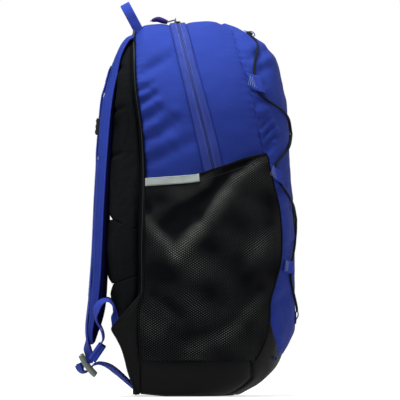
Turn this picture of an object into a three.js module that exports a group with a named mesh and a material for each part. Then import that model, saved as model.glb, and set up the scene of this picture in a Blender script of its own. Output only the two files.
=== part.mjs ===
// Daypack: a panel-loading rucksack with a zipped front flap, a laced front, mesh side pockets,
// padded back, two shoulder straps with a sternum strap, and waist webbing.
// Millimetres, +Z up, +Y towards the wearer, -Y to the front of the pack.
// Origin: centre of the flat base, on the surface that the pack stands on.
// The pack's skin is one smooth shell, cut into panels along its seams. A place on the shell is
// given by its distance along the arch (h, 0 at the top centre, positive to the wearer's right)
// and by phi, which runs from 0 at the rear seam to 1 at the centre of the front.
import * as THREE from 'three';
import { LoftGeometry } from 'three/addons/geometries/LoftGeometry.js';

const { Vector3, Shape, Path, ExtrudeGeometry, CatmullRomCurve3 } = THREE;

// ---- Driving dimensions ----
const TOP_Z = 483; // highest point of the shell
const ARCH_RADIUS = 118; // the shell's top, seen from behind
const ARCH_Z = TOP_Z - ARCH_RADIUS;
const HALF_WIDTH = 137; // widest stretch, seen from behind
const BASE_HALF_WIDTH = 124;
const BASE_TUCK_Z = 60; // below this the sides draw in to the base
const WIDEN_DROP = 180; // height over which the arch widens to the full width
const CORNER_POWER = 2.8; // squareness of a level section
const SECTION_BULGE = 1.1;
const REAR_TUCK = 0.08; // how much a section narrows towards the rear seam
const CROWN_DROP = 9; // the top ridge falls by this from front to rear
const RIDGE_FRONT_Y = -39;
const RIDGE_LENGTH = 116;

const FABRIC = 2; // panel thickness
const SEAM_GAP = 0.4; // each side of a seam
const FRONT_SEAM_GAP = 0.8; // the same at the curved front seam
const BASE_TOP_Z = 54; // coated base walls end here
const BASE_SEAM_Y = -75; // upright seam between the side and the front of the base
const BASE_SEAM_LIMIT = 0.66; // phi at which that seam stays on the tapering bottom
const BASE_SEAM_GAP = 0.003; // in phi
const PANEL_SEAM_Y = -26; // side seam below the end of the zip
const ZIP_END_Z = 295;
const ZIP_TOP_Y = 21;
const ZIP_SLOPE = 0.25; // the zip leans forward by this much per millimetre down
const ZIP_TAPE = 11; // half width of the zip's tape at the top
const FLAP_Z = 318; // the front flap folds at this height
const FRONT_SEAM_LIMIT = 0.72; // largest phi of the front seam, which rounds the front panel's tip

const WEBBING = 1.5; // webbing thickness
const CORD_RADIUS = 1.75;
const STRAP_THICKNESS = 14;
const LINING_THICKNESS = 5.5;
const STERNUM_Z = 350;
const LOCK_CENTRE = [138, 40]; // y, z of a ladder lock
const LOCK_LEAN = Math.atan2(20.5, 28); // from upright, lower end towards the pack
const LOOP_FOOT = [70, 477.5]; // y, z of the grab loop's feet
const LOOP_LEAN = THREE.MathUtils.degToRad(28);

// Profiles as [z, y] unless named otherwise
const FRONT_PROFILE = [
  [0, -53], [16, -82], [39, -105], [70, -123], [90, -131], [156, -131], [218, -130],
  [273, -126], [359, -122], [406, -115], [437, -107], [452, -96], [468, -76], [476, -57], [483, -39],
];
const REAR_PROFILE = [
  [0, 71], [51, 71], [78, 73], [112, 72], [136, 66], [190, 65.7], [285, 63.7], [341, 66],
  [402, 74], [474, 76.7], [483, 77],
];
const FRONT_SEAM = [
  [46, -108], [60, -108], [78, -103], [100, -98], [123, -99], [146, -105], [174, -112], [208, -113.5],
  [244, -110.5], [272, -104], [315, -94], [346, -85], [385, -77], [441, -60], [472, -50], [483, -44],
];
const POCKET_FRONT = [
  [44, -74], [55, -82], [75, -91], [100, -96], [123, -97], [146, -103], [174, -110], [208, -111.5],
  [244, -108.5], [272, -102], [318, -91],
];
const POCKET_REAR = [[44, 69], [110, 71], [136, 65], [290, 63]];
const POCKET_TOP = [[-95, 315], [-65, 308], [-43, 300], [-23, 293], [-2, 286], [68, 282]]; // y, z
const WING_EDGE = [[2, 78], [8, 79], [58, 91], [88, 105], [130, 70]];
const PAD_REAR = [
  [60, 94], [82, 100], [109, 103], [140, 106], [190, 110], [281, 105], [350, 102], [400, 96],
  [440, 86], [463, 80],
];
// Outer face of a shoulder strap: x, y, z
const STRAP_PATH = [
  [44, 86, 467], [48, 100, 443], [54, 112, 408], [62, 118.5, 370], [71, 123, 320], [80, 127, 260],
  [88, 131, 190], [93, 135, 130], [97, 138, 90], [98, 136, 68],
];
const WAIST_PATH = [
  [102, 91], [100, 99], [100, 109], [103, 119.5], [109.5, 125.5], [118, 123], [124.5, 114], [126.5, 102],
  [123.5, 90], [119, 78], [119.5, 68], [125, 58], [131, 50],
];
const ADJUSTER_PATH = [
  [146.5, 42], [147.5, 36], [144.5, 31.3], [139.5, 31.8], [134.8, 35.5], [129.5, 40.5], [116, 41],
  [101, 33], [90, 23], [84, 16],
];
// Lacing: z and the share of the way from the centre line to the front panel's seam
const LACE_UPPER = [
  [319, 0.25], [337, 0], [352, -0.3], [378, -0.66], [395, -0.9], [404, -0.95], [416, -0.9],
  [440, -0.66], [458, -0.3], [464, 0],
];
const LACE_LOWER = [
  [317, 0.3], [306, 0.55], [294, 0.83], [286, 0.85], [274, 0.7], [250, 0.34], [227, 0], [204, -0.34],
  [182, -0.62], [170, -0.72], [160, -0.72], [146, -0.6], [124, -0.3], [110, 0],
];

// ---- Materials ----
const finish = (color, roughness, metalness = 0) => new THREE.MeshStandardMaterial({
  color, roughness, metalness,
});
const MATERIALS = {
  blue: finish(0x2b38b4, 0.8),
  blueWebbing: finish(0x2a30a8, 0.75),
  coated: finish(0x161617, 0.55),
  black: finish(0x141416, 0.9),
  mesh: finish(0x18181a, 0.85),
  lining: finish(0x1b1b2a, 0.9),
  cord: finish(0x17171c, 0.7),
  zip: finish(0x262f9c, 0.6),
  reflective: finish(0x9a9c9e, 0.35),
  plastic: finish(0x141414, 0.45),
  greyPlastic: finish(0x4a4d48, 0.45),
};

// ---- Small tools ----
const lerp = THREE.MathUtils.lerp;
const clamp = THREE.MathUtils.clamp;

// A smooth curve through knots, as a function of their first coordinate.
function smoothCurve(knots) {
  const last = knots.length - 1;
  const slope = (i) => {
    const a = knots[Math.max(i - 1, 0)];
    const b = knots[Math.min(i + 1, last)];
    return (b[1] - a[1]) / (b[0] - a[0]);
  };
  return (t) => {
    let i = knots.findIndex((knot) => knot[0] > t) - 1;
    if (i === -2) i = last - 1;
    i = clamp(i, 0, last - 1);
    const [x0, y0] = knots[i];
    const [x1, y1] = knots[i + 1];
    const span = x1 - x0;
    const s = clamp((t - x0) / span, 0, 1);
    const bend0 = slope(i) * span;
    const bend1 = slope(i + 1) * span;
    const fall = (1 - s) ** 2;
    return y0 * (1 + 2 * s) * fall + bend0 * s * fall + y1 * s * s * (3 - 2 * s) - bend1 * s * s * (1 - s);
  };
}

function signedVolume(geometry) {
  const position = geometry.attributes.position;
  const corner = [new Vector3(), new Vector3(), new Vector3()];
  let volume = 0;
  for (let i = 0; i < geometry.index.count; i += 3) {
    corner.forEach((point, k) => point.fromBufferAttribute(position, geometry.index.getX(i + k)));
    volume += corner[0].dot(corner[1].cross(corner[2])) / 6;
  }
  return volume;
}

// A closed solid through ring sections, facing out whichever way the rings run.
function loft(sections) {
  const options = { closed: true, capStart: true, capEnd: true };
  const solid = new LoftGeometry(sections, options);
  if (signedVolume(solid) > 0) return solid;
  return new LoftGeometry(sections.map((ring) => [...ring].reverse()), options);
}

const model = new THREE.Group();

function add(name, geometry, material, place = {}) {
  const mesh = new THREE.Mesh(geometry, material);
  mesh.name = name;
  if (place.position) mesh.position.set(...place.position);
  if (place.rotation) mesh.rotation.set(...place.rotation);
  if (place.mirror) mesh.scale.x = -1;
  model.add(mesh);
  return mesh;
}

// Both copies of a piece that is modelled on the wearer's right (+X).
function addPair(name, geometry, material) {
  add(`${name}_right`, geometry, material);
  add(`${name}_left`, geometry, material, { mirror: true });
}

// ---- The shell ----
const frontY = smoothCurve(FRONT_PROFILE);
const rearY = smoothCurve(REAR_PROFILE);
const frontSeamY = smoothCurve(FRONT_SEAM);

function halfWidth(z) {
  if (z >= ARCH_Z) return Math.sqrt(Math.max(ARCH_RADIUS ** 2 - (z - ARCH_Z) ** 2, 0));
  const widening = (1 - Math.cos(Math.PI * Math.min(1, (ARCH_Z - z) / WIDEN_DROP))) / 2;
  const tuck = (HALF_WIDTH - BASE_HALF_WIDTH) * Math.max(0, 1 - z / BASE_TUCK_Z) ** 2;
  return lerp(ARCH_RADIUS, HALF_WIDTH, widening) - tuck;
}

// The arch seen from behind: level offset and height at distance h from the top centre.
function archPoint(h) {
  const quarter = (ARCH_RADIUS * Math.PI) / 2;
  const along = Math.abs(h);
  if (along <= quarter) {
    const angle = h / ARCH_RADIUS;
    return { offset: ARCH_RADIUS * Math.sin(angle), z: ARCH_Z + ARCH_RADIUS * Math.cos(angle) };
  }
  const z = ARCH_Z - (along - quarter);
  return { offset: Math.sign(h) * halfWidth(z), z };
}

// Distance along the arch down to height z, on the wearer's right.
function archLength(z) {
  if (z >= ARCH_Z) return ARCH_RADIUS * Math.acos(clamp((z - ARCH_Z) / ARCH_RADIUS, -1, 1));
  return (ARCH_RADIUS * Math.PI) / 2 + ARCH_Z - z;
}

function shellPoint(h, phi) {
  const { offset, z } = archPoint(h);
  const power = 2 / CORNER_POWER;
  const turn = (clamp(phi, 0, 1) * Math.PI) / 2;
  const depth = Math.sin(turn) ** power;
  const breadth = Math.max(Math.cos(turn), 0) ** power;
  const y = lerp(rearY(z), frontY(z), depth);
  const crown = z > ARCH_Z ? ((z - ARCH_Z) / ARCH_RADIUS) ** 2 : 0;
  const drop = CROWN_DROP * crown * clamp((y - RIDGE_FRONT_Y) / RIDGE_LENGTH, 0, 1) ** 1.5;
  return new Vector3(offset * SECTION_BULGE * breadth * (1 - REAR_TUCK * (1 - depth) ** 2), y, z - drop);
}

// The phi at which a level section reaches y.
function phiAt(y, z) {
  const depth = clamp((rearY(z) - y) / (rearY(z) - frontY(z)), 0, 1);
  return (2 / Math.PI) * Math.asin(depth ** (CORNER_POWER / 2));
}

function frontSeamPhi(z, shift) {
  return Math.min(phiAt(frontSeamY(z) + shift, z), FRONT_SEAM_LIMIT);
}

const SHELL_HEART = new Vector3(0, -10, 240);

// The outward unit normal of a surface(u, v) at a place.
function outwardNormal(surface, u, v) {
  const step = 0.004;
  const difference = (du, dv) => surface(u + du, v + dv).sub(surface(u - du, v - dv));
  const normal = difference(step, 0).cross(difference(0, step)).normalize();
  const away = surface(u, v).sub(SHELL_HEART);
  return normal.dot(away) < 0 ? normal.negate() : normal;
}

// A panel of the shell: surface(u, v) thickened between two offsets along its normals.
function panel(surface, rows, columns, outer = () => 0, thickness = FABRIC) {
  const sections = [];
  for (let i = 0; i <= rows; i++) {
    const outside = [];
    const inside = [];
    for (let j = 0; j <= columns; j++) {
      const u = i / rows;
      const v = j / columns;
      const normal = outwardNormal(surface, u, v);
      const lift = outer(u, v);
      outside.push(surface(u, v).addScaledVector(normal, lift));
      inside.unshift(surface(u, v).addScaledVector(normal, lift - thickness));
    }
    sections.push([...outside, ...inside]);
  }
  return loft(sections);
}

// A patch of one side between two heights and two seams given as phi(z).
function sideSurface(lowZ, highZ, rearPhi, frontPhi) {
  return (u, v) => {
    const z = lerp(lowZ, highZ, u);
    return shellPoint(archLength(z), lerp(rearPhi(z), frontPhi(z), v));
  };
}

// A patch that runs over the top from one side to the other.
function archSurface(endZ, rearPhi, frontPhi) {
  const reach = archLength(endZ);
  return (u, v) => {
    const h = lerp(-reach, reach, u);
    const { z } = archPoint(h);
    return shellPoint(h, lerp(rearPhi(z), frontPhi(z), v));
  };
}

// A place on the front: share runs from 0 at the centre line to 1 at the seam on the wearer's right.
function frontPoint(h, share, seamPhi) {
  const side = share < 0 ? -1 : 1;
  return shellPoint(side * h, 1 - Math.abs(share) * (1 - seamPhi(archPoint(h).z)));
}

// A patch across the front from seam to seam.
function frontSurface(lowZ, highZ, seamPhi) {
  return (u, v) => frontPoint(lerp(archLength(lowZ), archLength(highZ), u), 2 * v - 1, seamPhi);
}

const zipY = (z) => ZIP_TOP_Y - ZIP_SLOPE * (TOP_Z - z);
const tapeHalfWidth = (z) => ZIP_TAPE + 3 * clamp((TOP_Z - z) / (TOP_Z - ZIP_END_Z), 0, 1);

// ---- Shell panels ----
function buildBase() {
  const seam = (shift) => (z) => Math.min(phiAt(BASE_SEAM_Y, z), BASE_SEAM_LIMIT) + shift;
  const sideWall = sideSurface(0, BASE_TOP_Z, () => 0, seam(-BASE_SEAM_GAP));
  addPair('base_wall', panel(sideWall, 6, 6), MATERIALS.coated);
  const frontWall = frontSurface(0, BASE_TOP_Z, seam(BASE_SEAM_GAP));
  add('base_wall_front', panel(frontWall, 6, 12), MATERIALS.coated);
  add('base_floor', baseFloor(), MATERIALS.coated);
  add('base_wall_rear', baseRearWall(), MATERIALS.coated);
  addPair('base_wing', baseWing(), MATERIALS.coated);
}

function baseFloor() {
  const inset = 7;
  const steps = 8;
  const rim = [];
  for (let i = 0; i <= steps; i++) {
    const point = shellPoint(archLength(0), i / steps);
    rim.push([Math.max(point.x - inset, 0), clamp(point.y, frontY(0) + inset, rearY(0) - inset)]);
  }
  const outline = [...rim, ...rim.slice(0, -1).reverse().map(([x, y]) => [-x, y])];
  const ring = (z) => outline.map(([x, y]) => new Vector3(x, y, z));
  return loft([ring(0), ring(2.5)]);
}

// The slanting panel under the lowest back pad.
function baseRearWall() {
  const slant = [[77.5, 0], [84, 31], [90, 52], [96, 66]];
  const sections = slant.map(([y, z]) => {
    const reach = halfWidth(z) - 6;
    return [[-reach, y], [reach, y], [reach, y - FABRIC], [-reach, y - FABRIC]]
      .map(([x, depth]) => new Vector3(x, depth, z));
  });
  return loft(sections);
}

// A triangular side gusset that carries the waist webbing from the base to its tip.
function baseWing() {
  const edgeY = smoothCurve(WING_EDGE);
  const heights = [2, 20, 40, 58, 74, 88, 102, 114, 125];
  const sections = heights.map((z) => {
    const outer = shellPoint(archLength(z), 0).x;
    const rear = rearY(z) + 1.2;
    return [[outer, rear], [outer, edgeY(z)], [outer - FABRIC, edgeY(z)], [outer - FABRIC, rear]]
      .map(([x, y]) => new Vector3(x, y, z));
  });
  return loft(sections);
}

function buildSides() {
  const low = BASE_TOP_Z + 2 * SEAM_GAP;
  const high = ZIP_END_Z - SEAM_GAP;
  const sideSeam = (shift) => (z) => phiAt(PANEL_SEAM_Y + shift, z);
  const rearPanel = sideSurface(low, high, () => 0, sideSeam(SEAM_GAP));
  addPair('side_panel', panel(rearPanel, 8, 6), MATERIALS.blue);
  const gusset = sideSurface(low, high, sideSeam(-SEAM_GAP), (z) => frontSeamPhi(z, FRONT_SEAM_GAP));
  addPair('front_gusset', panel(gusset, 14, 5), MATERIALS.blue);
}

function buildCrownAndFlap() {
  const end = ZIP_END_Z + SEAM_GAP;
  const zipEdge = (side) => (z) => phiAt(zipY(z) + side * (tapeHalfWidth(z) + SEAM_GAP), z);
  const crown = archSurface(end, () => 0, zipEdge(1));
  add('crown_panel', panel(crown, 28, 4), MATERIALS.blue);
  const gusset = archSurface(end, zipEdge(-1), (z) => frontSeamPhi(z, FRONT_SEAM_GAP));
  add('flap_gusset', panel(gusset, 28, 5), MATERIALS.blue);
}

function buildFrontPanels() {
  const seam = (z) => frontSeamPhi(z, -FRONT_SEAM_GAP) + 0.008;
  const lower = frontSurface(BASE_TOP_Z + 2 * SEAM_GAP, FLAP_Z - SEAM_GAP, seam);
  add('front_panel_lower', panel(lower, 14, 12), MATERIALS.blue);
  const upper = frontSurface(FLAP_Z + SEAM_GAP, TOP_Z - 1.2, seam);
  add('front_panel_upper', panel(upper, 12, 12), MATERIALS.blue);
}

// Each half of the zip is a tape with its share of the coil along one edge.
function buildZip() {
  const end = ZIP_END_Z + 2;
  const track = (side) => archSurface(
    end,
    (z) => phiAt(zipY(z) + side * tapeHalfWidth(z), z),
    (z) => phiAt(zipY(z) + side * SEAM_GAP, z),
  );
  add('zip_track_rear', panel(track(1), 28, 2), MATERIALS.zip);
  add('zip_track_front', panel(track(-1), 28, 2), MATERIALS.zip);
}

// ---- Side pockets ----
const pocketFrontY = smoothCurve(POCKET_FRONT);
const pocketRearY = smoothCurve(POCKET_REAR);
const pocketTopZ = smoothCurve(POCKET_TOP);
const POCKET_LOW_Z = 45;
const POCKET_STAND_OFF = 11; // at the middle of the mouth
const POCKET_MESH = 1;

function pocketPlace(u, v) {
  const roughZ = lerp(POCKET_LOW_Z, 295, v);
  const roughY = lerp(pocketRearY(roughZ), pocketFrontY(roughZ), u);
  const z = lerp(POCKET_LOW_Z, pocketTopZ(roughY), v);
  return { y: lerp(pocketRearY(z), pocketFrontY(z), u), z };
}

function pocketLift(u, v) {
  return 2.4 + POCKET_STAND_OFF * Math.sin(Math.PI * u) ** 0.8 * (0.25 + 0.75 * v);
}

function buildPockets() {
  const surface = (v, u) => {
    const { y, z } = pocketPlace(u, v);
    return shellPoint(archLength(z), phiAt(y, z));
  };
  addPair('pocket_mesh', panel(surface, 10, 10, (v, u) => pocketLift(u, v), POCKET_MESH), MATERIALS.mesh);
  const stripEnd = 0.42; // share of the mouth that the strip covers
  const strip = { low: 0.955, high: 0.996, thickness: 0.8, gap: 0.4 };
  const stripPlace = (s, t) => [lerp(0.02, stripEnd, s), lerp(strip.low, strip.high, t)];
  const stripSurface = (s, t) => {
    const [u, v] = stripPlace(s, t);
    return surface(v, u);
  };
  const stripLift = (s, t) => pocketLift(...stripPlace(s, t)) + strip.gap + strip.thickness;
  const band = panel(stripSurface, 8, 1, stripLift, strip.thickness);
  addPair('reflective_strip', band, MATERIALS.reflective);
}

// ---- Back ----
function buildBack() {
  const boardSections = [];
  for (let i = 0; i <= 18; i++) {
    const z = lerp(3, 466, i / 18);
    const reach = shellPoint(archLength(z), 0).x - 2.6;
    const front = rearY(z) + 1;
    boardSections.push([[-reach, front], [reach, front], [reach, front + 2], [-reach, front + 2]]
      .map(([x, y]) => new Vector3(x, y, z)));
  }
  add('back_panel', loft(boardSections), MATERIALS.black);
  const pads = [
    ['back_pad_lower', 69, 151, 6],
    ['back_pad_middle', 152, 221, 6],
    ['back_pad_upper', 222, 461, 14],
  ];
  for (const [name, low, high, rows] of pads) add(name, backPad(low, high, rows), MATERIALS.black);
  add('laptop_sleeve', laptopSleeve(), MATERIALS.lining);
}

const PAD_INSET = 14; // the pads stop short of the back panel's edge

function backPad(low, high, rows) {
  const padRearY = smoothCurve(PAD_REAR);
  const corners = 16;
  const sections = [];
  for (let i = 0; i <= rows; i++) {
    const z = lerp(low, high, i / rows);
    const front = rearY(z) + 3.6;
    const middle = (front + padRearY(z)) / 2;
    const half = middle - front;
    const reach = shellPoint(archLength(z), 0).x - PAD_INSET;
    const ring = [];
    for (let k = 0; k < corners; k++) {
      const angle = (2 * Math.PI * k) / corners;
      const square = (value) => Math.sign(value) * Math.abs(value) ** 0.4;
      ring.push(new Vector3(reach * square(Math.cos(angle)), middle + half * square(Math.sin(angle)), z));
    }
    sections.push(ring);
  }
  return loft(sections);
}

// A U-shaped sleeve that stands in front of the back panel.
function laptopSleeve() {
  const reach = 112;
  const front = 40;
  const rear = 62;
  const wall = 2;
  const outline = new Shape([
    [-reach, rear], [-reach, front], [reach, front], [reach, rear],
    [reach - wall, rear], [reach - wall, front + wall], [wall - reach, front + wall], [wall - reach, rear],
  ].map(([x, y]) => new THREE.Vector2(x, y)));
  return new ExtrudeGeometry(outline, { depth: 290, bevelEnabled: false }).translate(0, 0, 10);
}

// ---- Straps and webbing ----
// A band along a path of points: flat across X, from one height to another off the path.
function band(points, halfAcross, low, high, rounding = 0) {
  const sections = points.map((point, i) => {
    const before = points[Math.max(i - 1, 0)];
    const after = points[Math.min(i + 1, points.length - 1)];
    const tangent = after.clone().sub(before);
    const normal = new Vector3(0, -tangent.z, tangent.y).normalize();
    const [half, bottom, top] = [halfAcross, low, high].map((value) => (
      typeof value === 'function' ? value(i / (points.length - 1)) : value));
    const edge = Math.min(rounding, (top - bottom) / 2);
    const at = (across, off) => point.clone().addScaledVector(normal, off).add(new Vector3(across, 0, 0));
    const ring = [at(-half + edge, top), at(half - edge, top)];
    if (edge > 0) ring.push(at(half, top - edge));
    ring.push(at(half, bottom), at(-half, bottom));
    if (edge > 0) ring.push(at(-half, top - edge));
    return ring;
  });
  return loft(sections);
}

const flatPath = (x, yz) => yz.map(([y, z]) => new Vector3(x, y, z));
const smoothPath = (points, steps) =>
  new CatmullRomCurve3(points, false, 'centripetal').getSpacedPoints(steps);

const strapCurve = new CatmullRomCurve3(STRAP_PATH.map((p) => new Vector3(...p)), false, 'centripetal');
const strapPoints = strapCurve.getSpacedPoints(30);

// The strap's outer face at height z.
function strapYAt(z) {
  const i = clamp(strapPoints.findIndex((point) => point.z < z), 1, strapPoints.length - 1);
  const [upper, lower] = [strapPoints[i - 1], strapPoints[i]];
  return lerp(upper.y, lower.y, (upper.z - z) / (upper.z - lower.z));
}

const strapThickness = (t) =>
  lerp(5, STRAP_THICKNESS, clamp(t / 0.1, 0, 1)) - 3 * clamp((t - 0.9) / 0.1, 0, 1);
const strapHalfWidth = smoothCurve([[0, 30], [0.3, 32], [0.55, 31], [0.8, 26], [0.93, 20], [1, 15]]);

function buildShoulderStraps() {
  const lining = (t) => Math.min(LINING_THICKNESS, strapThickness(t) * 0.4);
  const outer = band(strapPoints, strapHalfWidth, (t) => lining(t) - strapThickness(t) + SEAM_GAP, 0, 3);
  addPair('shoulder_strap', outer, MATERIALS.blue);
  const inner = band(
    strapPoints,
    (t) => strapHalfWidth(t) - 0.5,
    (t) => -strapThickness(t),
    (t) => lining(t) - strapThickness(t),
  );
  addPair('strap_lining', inner, MATERIALS.lining);
}

// The webbing on the strap's face: stitched down, lifted where the sternum slider rides,
// and running on past the strap's end round the ladder lock's middle bar.
const TAPE_THICKNESS = 1.2;
const TAPE_X = [[45, 98], [90, 97], [190, 88], [290, 68], [430, 66]]; // z, x
const TAPE_RISE = 4.2; // under the sternum slider
const TAPE_LIFT = [
  [60, 0.6], [294, 0.6], [310, TAPE_RISE], [390, TAPE_RISE], [406, 0.6], [430, 0.6],
]; // z, lift
const LOCK_BAR = lockPoint(1.5);

function lockPoint(along, off = 0) {
  const [y, z] = LOCK_CENTRE;
  return [
    y + along * Math.sin(LOCK_LEAN) - off * Math.cos(LOCK_LEAN),
    z + along * Math.cos(LOCK_LEAN) + off * Math.sin(LOCK_LEAN),
  ];
}

function strapTape() {
  const tapeX = smoothCurve(TAPE_X);
  const lift = smoothCurve(TAPE_LIFT);
  const points = [];
  for (let z = 425; z >= 72; z -= 9) points.push(new Vector3(tapeX(z), strapYAt(z) + lift(z), z));
  points.push(new Vector3(98, 138, 62));
  const radius = 4.6;
  for (let turn = 0; turn <= 8; turn++) {
    const angle = THREE.MathUtils.degToRad(175 - turn * 27);
    const y = LOCK_BAR[0] + radius * Math.cos(angle);
    points.push(new Vector3(98, y, LOCK_BAR[1] + radius * Math.sin(angle)));
  }
  return band(points, 10, 0, TAPE_THICKNESS);
}

function buildWebbing() {
  addPair('strap_tape', strapTape(), MATERIALS.blueWebbing);
  const adjuster = smoothPath(flatPath(98, ADJUSTER_PATH), 26);
  const slideOut = 20; // the webbing splays outwards from the lock to the base corner
  const reach = ADJUSTER_PATH[0][0] - ADJUSTER_PATH.at(-1)[0];
  for (const point of adjuster) point.x += slideOut * clamp((130 - point.y) / reach, 0, 1);
  addPair('adjuster_webbing', band(adjuster, 10, -WEBBING / 2, WEBBING / 2), MATERIALS.blueWebbing);
  const waist = smoothPath(flatPath(127.5, WAIST_PATH), 24);
  addPair('waist_strap', band(waist, 8, -WEBBING / 2, WEBBING / 2), MATERIALS.blueWebbing);
}

// ---- Hardware ----
function rectangle(width, height, radius = 0.01) {
  const x = width / 2;
  const y = height / 2;
  const shape = new Shape();
  shape.moveTo(x - radius, -y);
  shape.absarc(x - radius, -y + radius, radius, -Math.PI / 2, 0);
  shape.absarc(x - radius, y - radius, radius, 0, Math.PI / 2);
  shape.absarc(-x + radius, y - radius, radius, Math.PI / 2, Math.PI);
  shape.absarc(-x + radius, -y + radius, radius, Math.PI, 1.5 * Math.PI);
  return shape;
}

function rectangleHole(width, height, x = 0, y = 0) {
  const corners = [[-1, -1], [-1, 1], [1, 1], [1, -1]];
  return new Path(corners.map(([a, b]) => new THREE.Vector2(x + (a * width) / 2, y + (b * height) / 2)));
}

const extrude = (shape, depth, steps = 3) => new ExtrudeGeometry(shape, {
  depth, bevelEnabled: false, curveSegments: steps,
}).translate(0, 0, -depth / 2);

// A plate with two slots either side of a middle bar, and a thumb tab at its upper end.
function ladderLock() {
  const plate = rectangle(31, 34, 4);
  plate.holes.push(rectangleHole(23, 7, 0, 7), rectangleHole(23, 7, 0, -4));
  return extrude(plate, 4.4).rotateX(Math.PI / 2 - LOCK_LEAN);
}

function buildLadderLocks() {
  const [y, z] = LOCK_CENTRE;
  for (const [side, x] of [['left', -98], ['right', 98]]) {
    add(`ladder_lock_${side}`, ladderLock(), MATERIALS.greyPlastic, { position: [x, y, z] });
  }
}

// A slider that wraps the lifted stretch of strap webbing.
const STERNUM_X = 66;
const SOCKET_BACK = 19.5; // distance of the buckle's two backs from the centre
const PLUG_BACK = 17;
const sternumSlope = Math.atan2(strapYAt(STERNUM_Z - 25) - strapYAt(STERNUM_Z + 25), 50);

function buildSternumStrap() {
  const ring = rectangle(27, 7, 1);
  ring.holes.push(rectangleHole(22, 3));
  const slider = extrude(ring, 22).rotateX(sternumSlope);
  const y = strapYAt(STERNUM_Z) + TAPE_RISE + TAPE_THICKNESS / 2;
  for (const side of [-1, 1]) {
    const name = side < 0 ? 'left' : 'right';
    const position = [side * STERNUM_X, y, STERNUM_Z];
    add(`sternum_slider_${name}`, slider, MATERIALS.plastic, { position });
    const webbing = sternumWebbing(side < 0 ? SOCKET_BACK : PLUG_BACK);
    add(`sternum_webbing_${name}`, webbing, MATERIALS.blueWebbing, { mirror: side < 0 });
  }
  buildBuckle();
}

// From the slider down to the buckle's back, which is buckleX from the centre.
function sternumWebbing(buckleX) {
  const end = buckleX + 0.5;
  const sections = [[51.5, 126], [40, 126], [30, 125], [end + 5, 121], [end, 120]].map(([x, y]) => (
    [[y, -9], [y, 9], [y - WEBBING, 9], [y - WEBBING, -9]]
      .map(([depth, rise]) => new Vector3(x, depth - WEBBING / 2, STERNUM_Z + rise))));
  return loft(sections);
}

// A side-release buckle: a flat socket, and a plug with two springing prongs.
function buildBuckle() {
  const y = 119.5;
  const length = 20;
  const socket = rectangle(9, 25, 2);
  socket.holes.push(rectangleHole(5, 20));
  const housing = extrude(socket, length).rotateX(Math.PI / 2).rotateZ(Math.PI / 2);
  add('buckle_female', housing, MATERIALS.plastic, { position: [length / 2 - SOCKET_BACK, y, STERNUM_Z] });
  const plug = new Shape([
    [3.5, -12], [PLUG_BACK, -12], [PLUG_BACK, 12], [3.5, 12], [3.5, 9], [-11, 9], [-11, 6], [0, 5.5],
    [0, 2], [-7, 1.5], [-7, -1.5], [0, -2], [0, -5.5], [-11, -6], [-11, -9], [3.5, -9],
  ].map(([x, z]) => new THREE.Vector2(x, z)));
  const plugShape = extrude(plug, 4).rotateX(Math.PI / 2);
  add('buckle_male', plugShape, MATERIALS.plastic, { position: [0, y, STERNUM_Z] });
}

// An upright band bent into an inverted U, leaning towards the wearer.
function buildGrabLoop() {
  const outer = 34;
  const height = 37;
  const corner = 16;
  const thickness = 2.2;
  const arch = new Shape();
  arch.moveTo(outer, 0);
  arch.lineTo(outer, height - corner);
  arch.absarc(outer - corner, height - corner, corner, 0, Math.PI / 2);
  arch.absarc(corner - outer, height - corner, corner, Math.PI / 2, Math.PI);
  arch.lineTo(-outer, 0);
  arch.lineTo(thickness - outer, 0);
  arch.lineTo(thickness - outer, height - corner);
  arch.absarc(corner - outer, height - corner, corner - thickness, Math.PI, Math.PI / 2, true);
  arch.absarc(outer - corner, height - corner, corner - thickness, Math.PI / 2, 0, true);
  arch.lineTo(outer - thickness, 0);
  const loop = extrude(arch, 13, 5).rotateX(Math.PI / 2 - LOOP_LEAN);
  add('grab_loop', loop, MATERIALS.blueWebbing, { position: [0, ...LOOP_FOOT] });
}

// Zip sliders meet at the top of the arch, and their cord pulls lie back towards the wearer.
function buildZipPulls() {
  for (const side of [-1, 1]) {
    const name = side < 0 ? 'left' : 'right';
    const x = side * 9;
    const body = extrude(rectangle(14, 9, 2), 5).translate(0, 0, 2.5);
    const top = shellPoint(x, phiAt(ZIP_TOP_Y, TOP_Z - 1));
    add(`zip_slider_${name}`, body, MATERIALS.plastic, { position: [x, top.y, top.z + 2] });
    const cord = new THREE.CylinderGeometry(1.6, 2.6, 30, 8).translate(0, -15, 0).rotateX(Math.PI);
    add(`zip_pull_${name}`, cord, MATERIALS.cord, { position: [x, top.y + 2, top.z + 9.7] });
  }
}

// ---- Lacing ----
// A patch of the front between two heights and two shares of the way out to the seam.
function frontPatch(lowZ, highZ, lowShare, highShare) {
  return (u, v) => frontPoint(
    lerp(archLength(lowZ), archLength(highZ), u),
    lerp(lowShare, highShare, v),
    (z) => frontSeamPhi(z, 0),
  );
}

function overFront(z, share, lift) {
  const surface = frontPatch(z, z + 10, share, share + 0.5);
  return surface(0, 0).addScaledVector(outwardNormal(surface, 0, 0), lift);
}

const LACE_LIFT = CORD_RADIUS + 0.7;
const CROSSING_LIFT = 2 * CORD_RADIUS + 0.8; // the second strand passes over the first

function laceTube(route, crossingZ) {
  const strand = (side) => route.map(([z, share]) => {
    const over = side > 0 ? 0 : CROSSING_LIFT * Math.max(0, 1 - Math.abs(z - crossingZ) / 26);
    return overFront(z, side * share, LACE_LIFT + over);
  });
  const points = [...strand(1), ...strand(-1).slice(0, -1).reverse()];
  const path = new CatmullRomCurve3(points, false, 'centripetal');
  const section = new Shape();
  section.absarc(0, 0, CORD_RADIUS, 0, 2 * Math.PI);
  const settings = { extrudePath: path, steps: 80, curveSegments: 4, bevelEnabled: false };
  return new ExtrudeGeometry(section, settings);
}

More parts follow.
